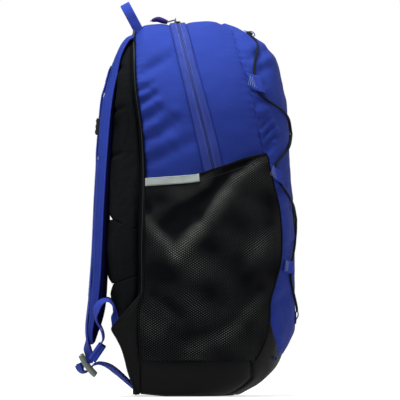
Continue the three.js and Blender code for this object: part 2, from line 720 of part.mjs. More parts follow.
// Short webbing tabs, sewn down at the front panel's seam or centre line, that hold the cord.
const TAB_LIFT = 2.4;
const TAB_THICKNESS = 1.7;

function laceTab(lowZ, highZ, lowShare, highShare) {
  return panel(frontPatch(lowZ, highZ, lowShare, highShare), 2, 3, () => TAB_LIFT, TAB_THICKNESS);
}

function buildLacing() {
  add('lace_cord_upper', laceTube(LACE_UPPER, 337), MATERIALS.cord);
  add('lace_cord_lower', laceTube(LACE_LOWER, 227), MATERIALS.cord);
  addPair('lace_tab_high', laceTab(398, 410, 0.99, 1.14), MATERIALS.blueWebbing);
  addPair('lace_tab_mid', laceTab(284, 296, 0.89, 0.985), MATERIALS.blueWebbing);
  addPair('lace_tab_low', laceTab(159, 171, 0.77, 0.97), MATERIALS.blueWebbing);
  add('lace_tab_top', laceTab(468, 477, -0.16, 0.16), MATERIALS.blueWebbing);
  add('lace_tab_bottom', laceTab(94, 106, -0.07, 0.07), MATERIALS.blueWebbing);
}

buildBase();
buildSides();
buildCrownAndFlap();
buildFrontPanels();
buildZip();
buildPockets();
buildBack();
buildShoulderStraps();
buildWebbing();
buildLadderLocks();
buildSternumStrap();
buildGrabLoop();
buildZipPulls();
buildLacing();

export default model;
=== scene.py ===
import math

import bpy
import numpy as np
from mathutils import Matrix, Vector


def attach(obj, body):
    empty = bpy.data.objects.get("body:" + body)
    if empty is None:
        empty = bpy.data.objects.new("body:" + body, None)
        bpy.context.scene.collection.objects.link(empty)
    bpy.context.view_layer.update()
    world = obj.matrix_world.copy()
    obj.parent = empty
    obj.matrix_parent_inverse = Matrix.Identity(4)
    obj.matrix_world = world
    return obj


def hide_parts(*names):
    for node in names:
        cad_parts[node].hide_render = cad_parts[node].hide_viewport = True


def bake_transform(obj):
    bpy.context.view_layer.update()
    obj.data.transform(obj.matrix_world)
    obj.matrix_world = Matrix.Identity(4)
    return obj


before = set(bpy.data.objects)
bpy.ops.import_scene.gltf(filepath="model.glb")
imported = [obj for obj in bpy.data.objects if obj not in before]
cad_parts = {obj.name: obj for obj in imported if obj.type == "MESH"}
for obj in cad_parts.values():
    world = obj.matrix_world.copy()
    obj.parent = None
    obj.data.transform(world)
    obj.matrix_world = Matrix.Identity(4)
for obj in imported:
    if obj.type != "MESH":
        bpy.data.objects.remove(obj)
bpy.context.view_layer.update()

MM = 0.001

# ---- Camera ----
CAMERA_DISTANCE = 20.0  # metres from the pack's middle
FRAME_WIDTH = 0.520  # metres that the picture spans, at the pack's middle
AIM = (-0.0078, 0.2548)  # y, z at the middle of the picture
SENSOR_WIDTH = 36


def make_camera():
    data = bpy.data.cameras.new("camera")
    data.sensor_width = SENSOR_WIDTH
    data.lens = SENSOR_WIDTH * CAMERA_DISTANCE / FRAME_WIDTH
    data.clip_end = 60
    camera = bpy.data.objects.new("camera", data)
    camera.location = (-CAMERA_DISTANCE, *AIM)
    camera.rotation_euler = Vector((1, 0, 0)).to_track_quat("-Z", "Y").to_euler()
    bpy.context.scene.collection.objects.link(camera)
    bpy.context.scene.camera = camera


make_camera()


# ---- Curves ----
def smooth_curve(knots):
    """A smooth curve through knots, as a function of their first coordinate."""
    xs = np.array([k[0] for k in knots], float)
    ys = np.array([k[1] for k in knots], float)
    before = np.maximum(np.arange(len(xs)) - 1, 0)
    after = np.minimum(np.arange(len(xs)) + 1, len(xs) - 1)
    slopes = (ys[after] - ys[before]) / (xs[after] - xs[before])

    def value(t):
        t = np.asarray(t, float)
        i = np.clip(np.searchsorted(xs, t, side="right") - 1, 0, len(xs) - 2)
        span = xs[i + 1] - xs[i]
        s = np.clip((t - xs[i]) / span, 0, 1)
        fall = (1 - s) ** 2
        rise = s * s * (3 - 2 * s)
        bend = slopes[i] * span * s * fall - slopes[i + 1] * span * s * s * (1 - s)
        return ys[i] * (1 + 2 * s) * fall + ys[i + 1] * rise + bend

    return value


def arc_lengths(points):
    steps = np.linalg.norm(np.diff(points, axis=0), axis=-1)
    return np.concatenate([np.zeros((1, *steps.shape[1:])), np.cumsum(steps, axis=0)])


def resample(points, count):
    """The same line at equal steps."""
    along = arc_lengths(points)
    even = np.linspace(0, along[-1], count)
    return np.stack([np.interp(even, along, points[:, k]) for k in range(points.shape[1])], axis=-1)


def smooth_path(points, count):
    """A smooth line through points, at equal steps."""
    points = np.array(points, float)
    along = arc_lengths(points)
    curves = [smooth_curve(list(zip(along, points[:, k]))) for k in range(points.shape[1])]
    fine = np.linspace(0, along[-1], count * 6)
    return resample(np.stack([curve(fine) for curve in curves], axis=-1), count)


def unit(vectors):
    return vectors / np.maximum(np.linalg.norm(vectors, axis=-1, keepdims=True), 1e-9)


def tangents(path):
    return unit(np.gradient(path, axis=0))


def lerp(a, b, t):
    return a + (b - a) * t


def smooth_step(t, low, high):
    s = np.clip((t - low) / (high - low), 0, 1)
    return s * s * (3 - 2 * s)


def soft_field(points, wavelength, seed, waves=20):
    """A smooth random field, about -1 to 1, from waves in fixed random directions."""
    rng = np.random.default_rng(seed)
    directions = unit(rng.normal(size=(waves, points.shape[-1])))
    lengths = wavelength * rng.uniform(0.7, 1.6, waves)
    phases = rng.uniform(0, 2 * np.pi, waves)
    angles = points @ (directions / lengths[:, None]).T * 2 * np.pi + phases
    return np.cos(angles).sum(-1) * math.sqrt(2 / waves) / 1.6


def hump(t, power=0.8):
    """A rounded hump: 0 where t is 0 or 1, and 1 half-way."""
    return np.abs(np.sin(np.pi * t)) ** power


# ---- The shell, as the CAD model has it ----
TOP_Z = 483
ARCH_RADIUS = 118
ARCH_Z = TOP_Z - ARCH_RADIUS
HALF_WIDTH = 137
BASE_HALF_WIDTH = 124
BASE_TUCK_Z = 60
WIDEN_DROP = 180
CORNER_POWER = 2.8
SECTION_BULGE = 1.1
REAR_TUCK = 0.08
CROWN_DROP = 9
RIDGE_FRONT_Y = -39
RIDGE_LENGTH = 116
FRONT_SEAM_LIMIT = 0.72
ZIP_TOP_Y = 21
ZIP_SLOPE = 0.25
ZIP_TAPE = 11
ZIP_END_Z = 295
BASE_SEAM_Y = -75
BASE_SEAM_LIMIT = 0.66
QUARTER = ARCH_RADIUS * math.pi / 2
HEART = np.array([0, -10, 240])

front_y = smooth_curve([
    [0, -53], [16, -82], [39, -105], [70, -123], [90, -131], [156, -131], [218, -130], [273, -126],
    [359, -122], [406, -115], [437, -107], [452, -96], [468, -76], [476, -57], [483, -39]])
rear_y = smooth_curve([
    [0, 71], [51, 71], [78, 73], [112, 72], [136, 66], [190, 65.7], [285, 63.7], [341, 66],
    [402, 74], [474, 76.7], [483, 77]])
front_seam_y = smooth_curve([
    [46, -108], [60, -108], [78, -103], [100, -98], [123, -99], [146, -105], [174, -112],
    [208, -113.5], [244, -110.5], [272, -104], [315, -94], [346, -85], [385, -77], [441, -60],
    [472, -50], [483, -44]])


def half_width(z):
    arch = np.sqrt(np.maximum(ARCH_RADIUS**2 - (z - ARCH_Z) ** 2, 0))
    widening = (1 - np.cos(np.pi * np.clip((ARCH_Z - z) / WIDEN_DROP, 0, 1))) / 2
    tuck = (HALF_WIDTH - BASE_HALF_WIDTH) * np.maximum(0, 1 - z / BASE_TUCK_Z) ** 2
    return np.where(z >= ARCH_Z, arch, lerp(ARCH_RADIUS, HALF_WIDTH, widening) - tuck)


def arch_point(h):
    """Level offset and height at distance h along the arch from the top centre."""
    h = np.asarray(h, float)
    angle = np.clip(h / ARCH_RADIUS, -np.pi / 2, np.pi / 2)
    below = ARCH_Z - (np.abs(h) - QUARTER)
    over = np.abs(h) <= QUARTER
    z = np.where(over, ARCH_Z + ARCH_RADIUS * np.cos(angle), below)
    return np.where(over, ARCH_RADIUS * np.sin(angle), np.sign(h) * half_width(below)), z


def arch_length(z):
    z = np.asarray(z, float)
    over = ARCH_RADIUS * np.arccos(np.clip((z - ARCH_Z) / ARCH_RADIUS, -1, 1))
    return np.where(z >= ARCH_Z, over, QUARTER + ARCH_Z - z)


def shell_point(h, phi):
    """A place on the shell: phi runs from 0 at the rear seam to 1 at the centre of the front."""
    offset, z = arch_point(h)
    power = 2 / CORNER_POWER
    turn = np.clip(phi, 0, 1) * np.pi / 2
    depth = np.sin(turn) ** power
    breadth = np.maximum(np.cos(turn), 0) ** power
    y = lerp(rear_y(z), front_y(z), depth)
    crown = np.where(z > ARCH_Z, ((z - ARCH_Z) / ARCH_RADIUS) ** 2, 0)
    drop = CROWN_DROP * crown * np.clip((y - RIDGE_FRONT_Y) / RIDGE_LENGTH, 0, 1) ** 1.5
    x = offset * SECTION_BULGE * breadth * (1 - REAR_TUCK * (1 - depth) ** 2)
    return np.stack(np.broadcast_arrays(x, y, z - drop), axis=-1)


def phi_at(y, z):
    depth = np.clip((rear_y(z) - y) / (rear_y(z) - front_y(z)), 0, 1)
    return 2 / np.pi * np.arcsin(depth ** (CORNER_POWER / 2))


def front_seam_phi(z, shift=0.0):
    return np.minimum(phi_at(front_seam_y(z) + shift, z), FRONT_SEAM_LIMIT)


def zip_y(z):
    return ZIP_TOP_Y - ZIP_SLOPE * (TOP_Z - z)


def tape_half(z):
    return ZIP_TAPE + 3 * np.clip((TOP_Z - z) / (TOP_Z - ZIP_END_Z), 0, 1)


def side_point(y, z, side=1):
    """The shell at depth y and height z, on one side."""
    return shell_point(side * arch_length(z), phi_at(y, z))


def front_point(h, share, shift=0.0):
    """The front at distance h down the arch: share is 0 at the centre line, 1 at the seam."""
    _, z = arch_point(h)
    side = np.where(share < 0, -1, 1)
    return shell_point(side * h, 1 - np.abs(share) * (1 - front_seam_phi(z, shift)))


def grid_normals(points, heart=HEART):
    normal = unit(np.cross(np.gradient(points, axis=0), np.gradient(points, axis=1)))
    away = (normal * (points - heart)).sum()
    return normal if away > 0 else -normal


# ---- Meshes ----
def lay_cloth(mesh, places):
    """Gives a mesh its cloth coordinates, one pair per vertex."""
    corners = np.zeros(len(mesh.loops), np.int32)
    mesh.loops.foreach_get("vertex_index", corners)
    layer = mesh.uv_layers.new(name="cloth")
    layer.data.foreach_set("uv", np.asarray(places, np.float32)[corners].ravel())


def new_object(name, vertices, faces, materials, places=None, slots=None, smooth=True):
    """A mesh object from points in millimetres. places are cloth coordinates, one per vertex."""
    mesh = bpy.data.meshes.new(name)
    mesh.from_pydata((np.asarray(vertices) * MM).tolist(), [], faces)
    for material in materials if isinstance(materials, (list, tuple)) else [materials]:
        mesh.materials.append(material)
    if slots is not None:
        mesh.polygons.foreach_set("material_index", np.asarray(slots, np.int32))
    mesh.polygons.foreach_set("use_smooth", [smooth] * len(mesh.polygons))
    lay_cloth(mesh, np.asarray(vertices)[:, 1:3] if places is None else places)
    mesh.update()
    made = bpy.data.objects.new(name, mesh)
    bpy.context.scene.collection.objects.link(made)
    return made


def quads(index):
    """Faces of a grid of vertex numbers."""
    return np.stack([index[:-1, :-1], index[1:, :-1], index[1:, 1:], index[:-1, 1:]], -1).reshape(-1, 4)


def sheet_solid(name, outer, thickness, materials, heart=HEART, normals=None):
    """A closed sheet of cloth: the outer face, an inner face one thickness behind it, and a rim."""
    if normals is None:
        normals = grid_normals(outer, heart)
    rows, columns = outer.shape[:2]
    count = rows * columns
    inner = outer - normals * thickness
    index = np.arange(count).reshape(rows, columns)
    loop = np.concatenate([index[0, :-1], index[:-1, -1], index[-1, :0:-1], index[:0:-1, 0]])
    following = np.roll(loop, -1)
    front = quads(index)
    back = front[:, ::-1] + count
    rim = np.stack([loop, following, following + count, loop + count], -1)
    facing = np.cross(np.gradient(outer, axis=0), np.gradient(outer, axis=1))
    if (facing * normals).sum() < 0:
        front, back, rim = front[:, ::-1], back[:, ::-1], rim[:, ::-1]
    faces = np.concatenate([front, back, rim]).tolist()
    place = np.stack([arc_lengths(outer), arc_lengths(outer.transpose(1, 0, 2)).T], -1).reshape(-1, 2)
    slots = [0] * len(front) + [1 if isinstance(materials, list) else 0] * (len(back) + len(rim))
    vertices = np.concatenate([outer.reshape(-1, 3), inner.reshape(-1, 3)])
    return new_object(name, vertices, faces, materials, np.concatenate([place, place]), slots)


def set_places(piece, name, values):
    """Stores one number per place of a sheet, for its material."""
    layer = piece.data.attributes.new(name, "FLOAT", "POINT")
    layer.data.foreach_set("value", np.concatenate([values.ravel()] * 2).astype(np.float32))


def ring_solid(name, rings, material, closed=False):
    """A solid through rings of points, capped at both ends unless it closes on itself."""
    count, sides = rings.shape[:2]
    index = np.arange(count * sides).reshape(count, sides)
    index = np.concatenate([index, index[:, :1]], axis=1)
    if closed:
        index = np.concatenate([index, index[:1]])
    faces = quads(index).tolist()
    if not closed:
        faces += [list(range(sides))[::-1], list(range((count - 1) * sides, count * sides))]
    centre = rings.mean(axis=1)
    flow = np.gradient(centre, axis=0)[:, None]
    spokes = rings - centre[:, None]
    if (np.cross(spokes, np.roll(spokes, -1, axis=1)) * flow).sum() > 0:
        faces = [face[::-1] for face in faces]
    length = np.repeat(arc_lengths(centre), sides)
    girth = np.concatenate([[0], np.cumsum(np.linalg.norm(np.diff(rings[0], axis=0), axis=-1))])
    place = np.stack([length, np.tile(girth, count)], -1)
    return new_object(name, rings.reshape(-1, 3), faces, material, place)


def frames(path):
    """Sideways and outward directions along a path, carried along it without twist."""
    along = tangents(path)
    start = np.eye(3)[np.argmin(np.abs(along[0]))]
    side = np.empty_like(path)
    side[0] = unit(np.cross(along[0], start))
    for k in range(1, len(path)):
        carried = side[k - 1] - along[k] * (side[k - 1] @ along[k])
        side[k] = carried / np.linalg.norm(carried)
    return side, np.cross(along, side)


def tube(name, path, radius, material, sides=8, closed=False):
    side, out = frames(path)
    angle = np.linspace(0, 2 * np.pi, sides, endpoint=False)
    radius = np.broadcast_to(radius, (len(path),))[:, None, None]
    ring = np.cos(angle)[None, :, None] * side[:, None] + np.sin(angle)[None, :, None] * out[:, None]
    return ring_solid(name, path[:, None] + radius * ring, material, closed)


def ribbon(name, path, across, half, thickness, material, belly=0.0):
    """Flat webbing along a path: across is its width's direction, and belly bows its face."""
    across = unit(np.broadcast_to(np.asarray(across, float), path.shape))
    along = tangents(path)
    out = unit(np.cross(across, along))
    across = unit(np.cross(along, out))
    half = np.broadcast_to(half, (len(path),))[:, None]
    thickness = np.broadcast_to(thickness, (len(path),))[:, None]
    place = np.array([-1, -0.94, -0.8, -0.4, 0, 0.4, 0.8, 0.94, 1])
    lip = np.array([0.45, 0.85, 1, 1, 1, 1, 1, 0.85, 0.45])
    face = np.concatenate([place, place[::-1]])
    level = np.concatenate([lip, -lip[::-1]]) / 2
    bow = belly * (1 - face**2)
    offset = (level[None] * thickness + bow[None])[..., None]
    rings = path[:, None] + (face * half)[..., None] * across[:, None] + offset * out[:, None]
    return ring_solid(name, rings, material)


def joined(name, parts):
    """Several objects made into one piece."""
    bpy.ops.object.select_all(action="DESELECT")
    for part in parts:
        part.select_set(True)
    bpy.context.view_layer.objects.active = parts[0]
    bpy.ops.object.join()
    parts[0].name = name
    parts[0].data.name = name
    return parts[0]


def stitches(name, path, normals, material, pitch=3.4, lift=0.1, thread=0.42):
    """Thread along a path: a row of short spindles, each one stitch."""
    total = arc_lengths(path)[-1]
    count = max(int(total / pitch), 1)
    both = resample(np.concatenate([path, normals], axis=1), count * 2 + 1)
    points = both[:, :3] + unit(both[:, 3:]) * lift
    out = unit(both[:-1:2, 3:])
    start = points[:-1:2]
    end = lerp(start, points[2::2], 0.78)
    side = unit(np.cross(end - start, out))
    ring = [side * thread, out * thread, -side * thread, -out * thread]
    rows = [start - out * thread]
    rows += [lerp(start, end, t) + r for t in (0.22, 0.78) for r in ring]
    rows.append(end - out * thread)
    vertices = np.stack(rows, axis=1).reshape(-1, 3)
    one = [[0, 1 + (k + 1) % 4, 1 + k] for k in range(4)]
    one += [[1 + k, 1 + (k + 1) % 4, 5 + (k + 1) % 4, 5 + k] for k in range(4)]
    one += [[9, 5 + k, 5 + (k + 1) % 4] for k in range(4)]
    faces = [[v + 10 * i for v in face] for i in range(count) for face in one]
    return new_object(name, vertices, faces, material)


# ---- Materials ----
def linear(colour):
    """Linear red, green and blue from the usual 0 to 255."""
    channels = [c / 255 for c in colour]
    return [c / 12.92 if c <= 0.04045 else ((c + 0.055) / 1.055) ** 2.4 for c in channels]


class Look:
    """A material and short ways to add its nodes."""

    def __init__(self, name, roughness, specular, **sockets):
        self.material = bpy.data.materials.new(name)
        self.material.use_nodes = True
        self.nodes = self.material.node_tree.nodes
        self.links = self.material.node_tree.links
        self.shader = self.nodes["Principled BSDF"]
        self.shader.inputs["Specular IOR Level"].default_value = specular
        self.shader.inputs["Roughness"].default_value = roughness
        for socket, value in sockets.items():
            self.shader.inputs[socket.replace("_", " ")].default_value = value
        self.body = self.node("ShaderNodeTexCoord").outputs["Object"]
        cloth = self.node("ShaderNodeUVMap")
        cloth.uv_map = "cloth"
        self.cloth = cloth.outputs[0]

    def node(self, kind, inputs=(), **settings):
        made = self.nodes.new(kind)
        for key, value in settings.items():
            setattr(made, key, value)
        for key, value in dict(inputs).items():
            if isinstance(value, bpy.types.NodeSocket):
                self.links.new(value, made.inputs[key])
            else:
                made.inputs[key].default_value = value
        return made

    def math(self, operation, *values, clamp=False):
        made = self.node("ShaderNodeMath", enumerate(values), operation=operation)
        made.use_clamp = clamp
        return made.outputs[0]

    def noise(self, size_mm, detail=3.0, rough=0.55, place=None):
        """Noise about 0.5 whose blobs are size_mm wide."""
        scale = 1000 / size_mm
        inputs = {"Vector": place or self.body, "Scale": scale, "Detail": detail, "Roughness": rough}
        return self.node("ShaderNodeTexNoise", inputs).outputs["Fac"]

    def cloth_axes(self, turn=0.0):
        """The cloth's two directions in millimetres, turned by an angle in degrees."""
        spin = self.node("ShaderNodeVectorRotate", {"Vector": self.cloth, "Angle": math.radians(turn)},
                         rotation_type="Z_AXIS")
        split = self.node("ShaderNodeSeparateXYZ", {"Vector": spin.outputs[0]})
        return split.outputs[0], split.outputs[1]

    def wave(self, value, period):
        """A sine of a length in millimetres, from -1 to 1."""
        return self.math("SINE", self.math("MULTIPLY", value, 2 * math.pi / period))

    def mix(self, fraction, first, second):
        inputs = {"Factor": fraction, "A": first, "B": second}
        made = self.node("ShaderNodeMix", data_type="RGBA")
        for key, value in inputs.items():
            socket = next(s for s in made.inputs if s.name == key and s.enabled)
            if isinstance(value, bpy.types.NodeSocket):
                self.links.new(value, socket)
            else:
                socket.default_value = value if key == "Factor" else (*value, 1)
        return next(s for s in made.outputs if s.enabled)

    def paint(self, colour):
        self.links.new(colour, self.shader.inputs["Base Color"])

    def vary_roughness(self, fraction, low, high):
        spread = self.node("ShaderNodeMapRange", {"Value": fraction, "To Min": low, "To Max": high})
        self.links.new(spread.outputs[0], self.shader.inputs["Roughness"])

    def bump(self, *layers):
        """Bump from (height, distance in millimetres) pairs, one on top of another."""
        normal = None
        for height, depth in layers:
            inputs = {"Height": height, "Distance": depth * MM, "Strength": 1.0}
            if normal is not None:
                inputs["Normal"] = normal
            normal = self.node("ShaderNodeBump", inputs).outputs[0]
        self.links.new(normal, self.shader.inputs["Normal"])


def shades(colour, amount):
    base = np.array(linear(colour))
    return (base * (1 - amount)).tolist(), np.minimum(base * (1 + amount), 1).tolist()


def woven(name, colour, period, depth, roughness=0.8, specular=0.12, variation=0.16, **sockets):
    """Plain-woven cloth: crossing yarns, slubs and slight fading."""
    look = Look(name, roughness, specular, **sockets)
    warp, weft = look.cloth_axes()
    yarn = look.math("MULTIPLY", look.wave(warp, 2 * period), look.wave(weft, 2 * period))
    slub = look.noise(2.2, 2.0)
    dark, light = shades(colour, variation)
    tone = look.math("ADD", look.math("MULTIPLY", yarn, 0.22), look.noise(46, 3.0))
    tone = look.math("ADD", look.math("MULTIPLY", look.math("SUBTRACT", slub, 0.5), 0.7), tone, clamp=True)
    look.paint(look.mix(tone, dark, light))
    look.vary_roughness(look.noise(30), roughness - 0.07, roughness + 0.07)
    look.bump((look.noise(9, 3.0), 0.25), (yarn, depth))
    return look.material


def coated(name, colour):
    """Smooth coated cloth: a faint weave under a slightly glossy, creased skin."""
    look = Look(name, 0.55, 0.04)
    warp, weft = look.cloth_axes()
    yarn = look.math("MULTIPLY", look.wave(warp, 1.1), look.wave(weft, 1.1))
    dark, light = shades(colour, 0.22)
    look.paint(look.mix(look.noise(38, 4.0), dark, light))
    look.vary_roughness(look.noise(14, 4.0), 0.48, 0.64)
    look.bump((look.noise(17, 4.0), 0.5), (yarn, 0.035))
    return look.material


def open_mesh(name, thread, gap, period, depth):
    """Knitted net: dark threads and openings, with a painted glint on each knot where threads cross; the
    painted glint is strongest on the fold ridges and gone in the shaded valleys.
    """
    look = Look(name, 0.55, 0.02)
    lines = []
    for turn in (33, -33):
        across, _ = look.cloth_axes(turn)
        lines.append(look.math("ABSOLUTE", look.wave(across, 2 * period)))
    crossing = look.math("MULTIPLY", *lines)
    knot_and_glint = look.node("ShaderNodeMapRange", {"Value": crossing, "From Min": 0.6, "From Max": 0.92}).outputs[0]
    painted_fold_light = look.node("ShaderNodeAttribute", attribute_name="painted_fold_light").outputs["Fac"]
    uneven = look.math("ADD", look.noise(9, 3.0), 0.5)
    painted_glint = look.math("MULTIPLY", look.math("MULTIPLY", knot_and_glint, painted_fold_light), uneven, clamp=True)
    # Painted highlight: the knots take the pale glint colour, scaled by a per-place attribute that is painted
    # high on fold ridges and near zero in the shaded valleys.
    look.paint(look.mix(painted_glint, linear(gap), linear(thread)))
    look.vary_roughness(knot_and_glint, 0.8, 0.5)
    look.bump((look.noise(11, 2.0), 0.3), (crossing, depth))
    return look.material


def spacer_mesh(name, colour):
    """Padded back mesh: small round pores in a soft knit."""
    look = Look(name, 0.92, 0.015)
    spots = look.node("ShaderNodeTexVoronoi", {"Vector": look.body, "Scale": 1000 / 2.4, "Randomness": 0.35})
    pore = look.node("ShaderNodeMapRange", {
        "Value": spots.outputs["Distance"], "From Min": 0.1, "From Max": 0.42}).outputs[0]
    dark, light = shades(colour, 0.35)
    tone = look.math("MULTIPLY", pore, look.math("ADD", look.noise(40), 0.4), clamp=True)
    look.paint(look.mix(tone, dark, light))
    look.bump((look.noise(14, 2.0), 0.4), (pore, 0.3))
    return look.material


def webbing(name, colour, rib=1.5, depth=0.16, specular=0.16):
    """Heavy narrow weave: ribs across its width with a fine herringbone."""
    look = Look(name, 0.72, specular)
    along, across = look.cloth_axes()
    rib_line = look.wave(along, rib)
    slant = look.math("MULTIPLY", look.math("PINGPONG", across, 2.4), 0.8)
    bone = look.wave(look.math("ADD", along, slant), 1.2)
    height = look.math("ADD", look.math("MULTIPLY", rib_line, 0.6), look.math("MULTIPLY", bone, 0.5))
    dark, light = shades(colour, 0.24)
    tone = look.math("ADD", look.math("MULTIPLY", height, 0.25), look.noise(12, 3.0), clamp=True)
    look.paint(look.mix(tone, dark, light))
    look.bump((height, depth))
    return look.material


def braid(name, colour):
    """Round cord with a braided sheath."""
    look = Look(name, 0.62, 0.05)
    turns = [look.wave(look.cloth_axes(turn)[0], 1.3) for turn in (38, -38)]
    height = look.math("MAXIMUM", *turns)
    dark, light = shades(colour, 0.5)
    look.paint(look.mix(look.math("MULTIPLY_ADD", height, 0.4, 0.5, clamp=True), dark, light))
    look.bump((height, 0.14))
    return look.material


def plastic(name, colour, roughness, specular=0.4):
    """Moulded plastic: fine grain, a few scuffs."""
    look = Look(name, roughness, specular)
    dark, light = shades(colour, 0.18)
    look.paint(look.mix(look.noise(5, 4.0), dark, light))
    look.vary_roughness(look.noise(3.2, 4.0), roughness - 0.08, roughness + 0.12)
    look.bump((look.noise(0.6, 2.0), 0.03))
    return look.material


def reflector(name, colour):
    """Reflective tape: a grey face of tiny glass beads in a fine grid."""
    look = Look(name, 0.42, 0.4)
    along, across = look.cloth_axes(45)
    grid = look.math("MAXIMUM", look.wave(along, 1.6), look.wave(across, 1.6))
    dark, light = shades(colour, 0.1)
    look.paint(look.mix(look.noise(6, 3.0), dark, light))
    look.vary_roughness(look.noise(4), 0.34, 0.5)
    look.bump((grid, 0.03))
    return look.material


BLUE = woven("blue cloth", (25, 37, 100), 0.55, 0.05, specular=0.05)
BLUE_TAPE = webbing("blue webbing", (28, 40, 112), specular=0.08)
ZIP_CLOTH = webbing("zip tape", (31, 40, 98), rib=0.9, depth=0.07, specular=0.06)
ZIP_COIL = plastic("zip coil", (24, 31, 86), 0.5, 0.15)
COATED = coated("coated cloth", (10, 9, 10))
# The pale first colour is the painted glint on the net's knots; the near-black second colour is the net's own
# colour.
POCKET = open_mesh("pocket mesh", (118, 118, 114), (3, 3, 5), 2.7, 0.35)
POCKET_HEM = webbing("pocket hem", (9, 9, 10), rib=1.8, depth=0.2, specular=0.02)
BACK_MESH = spacer_mesh("back mesh", (9, 9, 11))
BACK_BOARD = woven("back cloth", (8, 8, 10), 0.6, 0.06, 0.88, 0.015)
LINING = woven("strap lining", (8, 5, 32), 0.6, 0.06, 0.88, 0.012)
INSIDE = woven("inside cloth", (44, 45, 52), 0.6, 0.04, 0.85, 0.06)
CORD = braid("elastic cord", (10, 11, 15))
PULL_CORD = braid("pull cord", (28, 18, 66))
BLACK_PLASTIC = plastic("black plastic", (11, 12, 12), 0.42, 0.2)
GREY_PLASTIC = plastic("grey plastic", (70, 74, 67), 0.36, 0.5)
REFLECTIVE = reflector("reflective tape", (108, 110, 110))
BLUE_THREAD = plastic("blue thread", (40, 52, 134), 0.6, 0.1)
PALE_THREAD = plastic("pale thread", (90, 102, 140), 0.6, 0.1)
BLACK_THREAD = plastic("black thread", (22, 22, 24), 0.6, 0.1)


def place(piece, body, slot=None, nodes=()):
    """Puts a piece on a body, or, when body is "fold", bakes its place into its mesh and leaves it on no
    body; hides the CAD nodes it replaces.
    """
    if body == "fold":
        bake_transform(piece)
    else:
        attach(piece, body)
    if nodes:
        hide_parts(*nodes)
    return piece


SIDES = (("left", -1), ("right", 1))


def pair(name):
    return [f"{name}_left", f"{name}_right"]


# ---- Shell cloth ----
CLOTH = 1.4
SHELL_LOW_Z = 50  # the blue cloth runs down behind the base's top edge

# Soft creases near the rear seam: y, z of both ends, then width and depth
SIDE_CREASES = [
    (66, 420, 34, 437, 6.5, 4.4), (74, 396, 54, 402, 5.5, 4.0), (73, 378, 52, 390, 6, 6.0),
    (70, 356, 46, 371, 6.5, 5.4), (46, 340, 24, 356, 8, 4.0), (68, 330, 48, 341, 6.5, 4.8),
    (60, 304, 28, 318, 8, 3.8), (20, 322, -6, 334, 9, 2.4), (62, 452, 42, 459, 8, 1.8),
]
# Puckers that run into the front panel from its seam
FRONT_CREASES = [
    (-93, 314, -103, 326, 3.2, 4.9), (-92, 322, -107, 340, 3.4, 6.7), (-92, 337, -102, 350, 3.2, 6.4),
    (-89, 349, -97, 359, 3.4, 5.2), (-86, 359, -96, 366, 4.1, 3.8), (-80, 378, -90, 387, 5.2, 3.2),
    (-108, 232, -122, 246, 5.8, 3.2), (-112, 186, -124, 196, 5.8, 2.9), (-104, 262, -118, 276, 4.6, 3.2),
    (-76, 440, -92, 446, 6.9, 3.8), (-106, 118, -122, 132, 6.9, 3.2), (-82, 420, -94, 426, 6.9, 3.2),
]


def creases(points, lines):
    """How far cloth sinks at its creases, each a line in side view."""
    y, z = points[..., 1], points[..., 2]
    total = np.zeros(y.shape)
    for y0, z0, y1, z1, width, depth in lines:
        run = np.array([y1 - y0, z1 - z0])
        t = np.clip(((y - y0) * run[0] + (z - z0) * run[1]) / (run @ run), 0, 1)
        gap = np.hypot(y - y0 - t * run[0], z - z0 - t * run[1])
        fade = 0.45 + 0.55 * np.sin(np.pi * np.clip(t, 0.08, 0.92))
        total += depth * np.exp(-((gap / width) ** 2)) * fade
        crest = np.hypot(y - y0 - t * run[0], z - z0 - t * run[1] - 1.7 * width)
        total -= 0.45 * depth * np.exp(-((crest / width) ** 2))
    return total


def seam_dip(distance, depth=1.3, width=3.2):
    """Cloth is drawn down into a seam."""
    return -depth * np.exp(-distance / width)


def pucker(distance, along, seed, amount=0.35, reach=9, pitch=9):
    """Little gathers along a seam that die away from it."""
    wander = soft_field(along[..., None] * np.ones(2), 34, seed)
    return amount * np.exp(-distance / reach) * np.sin(2 * np.pi * along / pitch + 3 * wander)


def crown_puff(points):
    """The stuffed crown rises over the frame of its seams."""
    y, z = points[..., 1], points[..., 2]
    return smooth_step(z, 425, 474) * (3.2 * smooth_step(y, -58, -15) + 1.6 * smooth_step(y, 15, 45))


def pocket_pull(points):
    """The cloth is drawn in towards the pocket's elastic hem."""
    y, z = points[..., 1], points[..., 2]
    above = z - 284 - 0.3 * np.maximum(0, -y)
    return -5 * np.exp(-((np.maximum(above, 0) / 30) ** 2)) * smooth_step(np.abs(points[..., 0]), 40, 80)


def arch_grid(low_z, rows, columns, rear_phi, front_phi):
    reach = arch_length(low_z)
    h = np.linspace(-reach, reach, rows)[:, None]
    _, z = arch_point(h)
    share = np.linspace(0, 1, columns)[None, :]
    return shell_point(h, lerp(rear_phi(z), front_phi(z), share)), h, z, share


def zip_phi(side, gap=0.0):
    return lambda z: phi_at(zip_y(z) + side * (tape_half(z) + gap), z)


def edge_distances(points):
    """Distances across a sheet from its first and last columns."""
    across = arc_lengths(points.transpose(1, 0, 2)).T
    return across, across[:, -1:] - across


def build_crown():
    points, h, _, _ = arch_grid(SHELL_LOW_Z, 460, 60, lambda z: 0 * z, zip_phi(1, -0.1))
    rear, front = edge_distances(points)
    along = h * np.ones_like(rear)
    lift = seam_dip(front, 0.7, 2.4) + seam_dip(rear, 1.6, 4) + pucker(rear, along, 3, 0.5)
    lift += pucker(front, along, 4, 0.2)
    lift += 1.6 * hump(rear / (rear + front)) - creases(points, SIDE_CREASES)
    lift += 0.8 * soft_field(points, 70, 5) + 0.25 * soft_field(points, 24, 6) + pocket_pull(points)
    lift += crown_puff(points) * smooth_step(rear, 0, 14)
    shaped = points + grid_normals(points) * lift[..., None]
    piece = sheet_solid("crown_and_sides", shaped, CLOTH, [BLUE, INSIDE])
    place(piece, "pack", "blue_fabric", ["crown_panel", *pair("side_panel")])


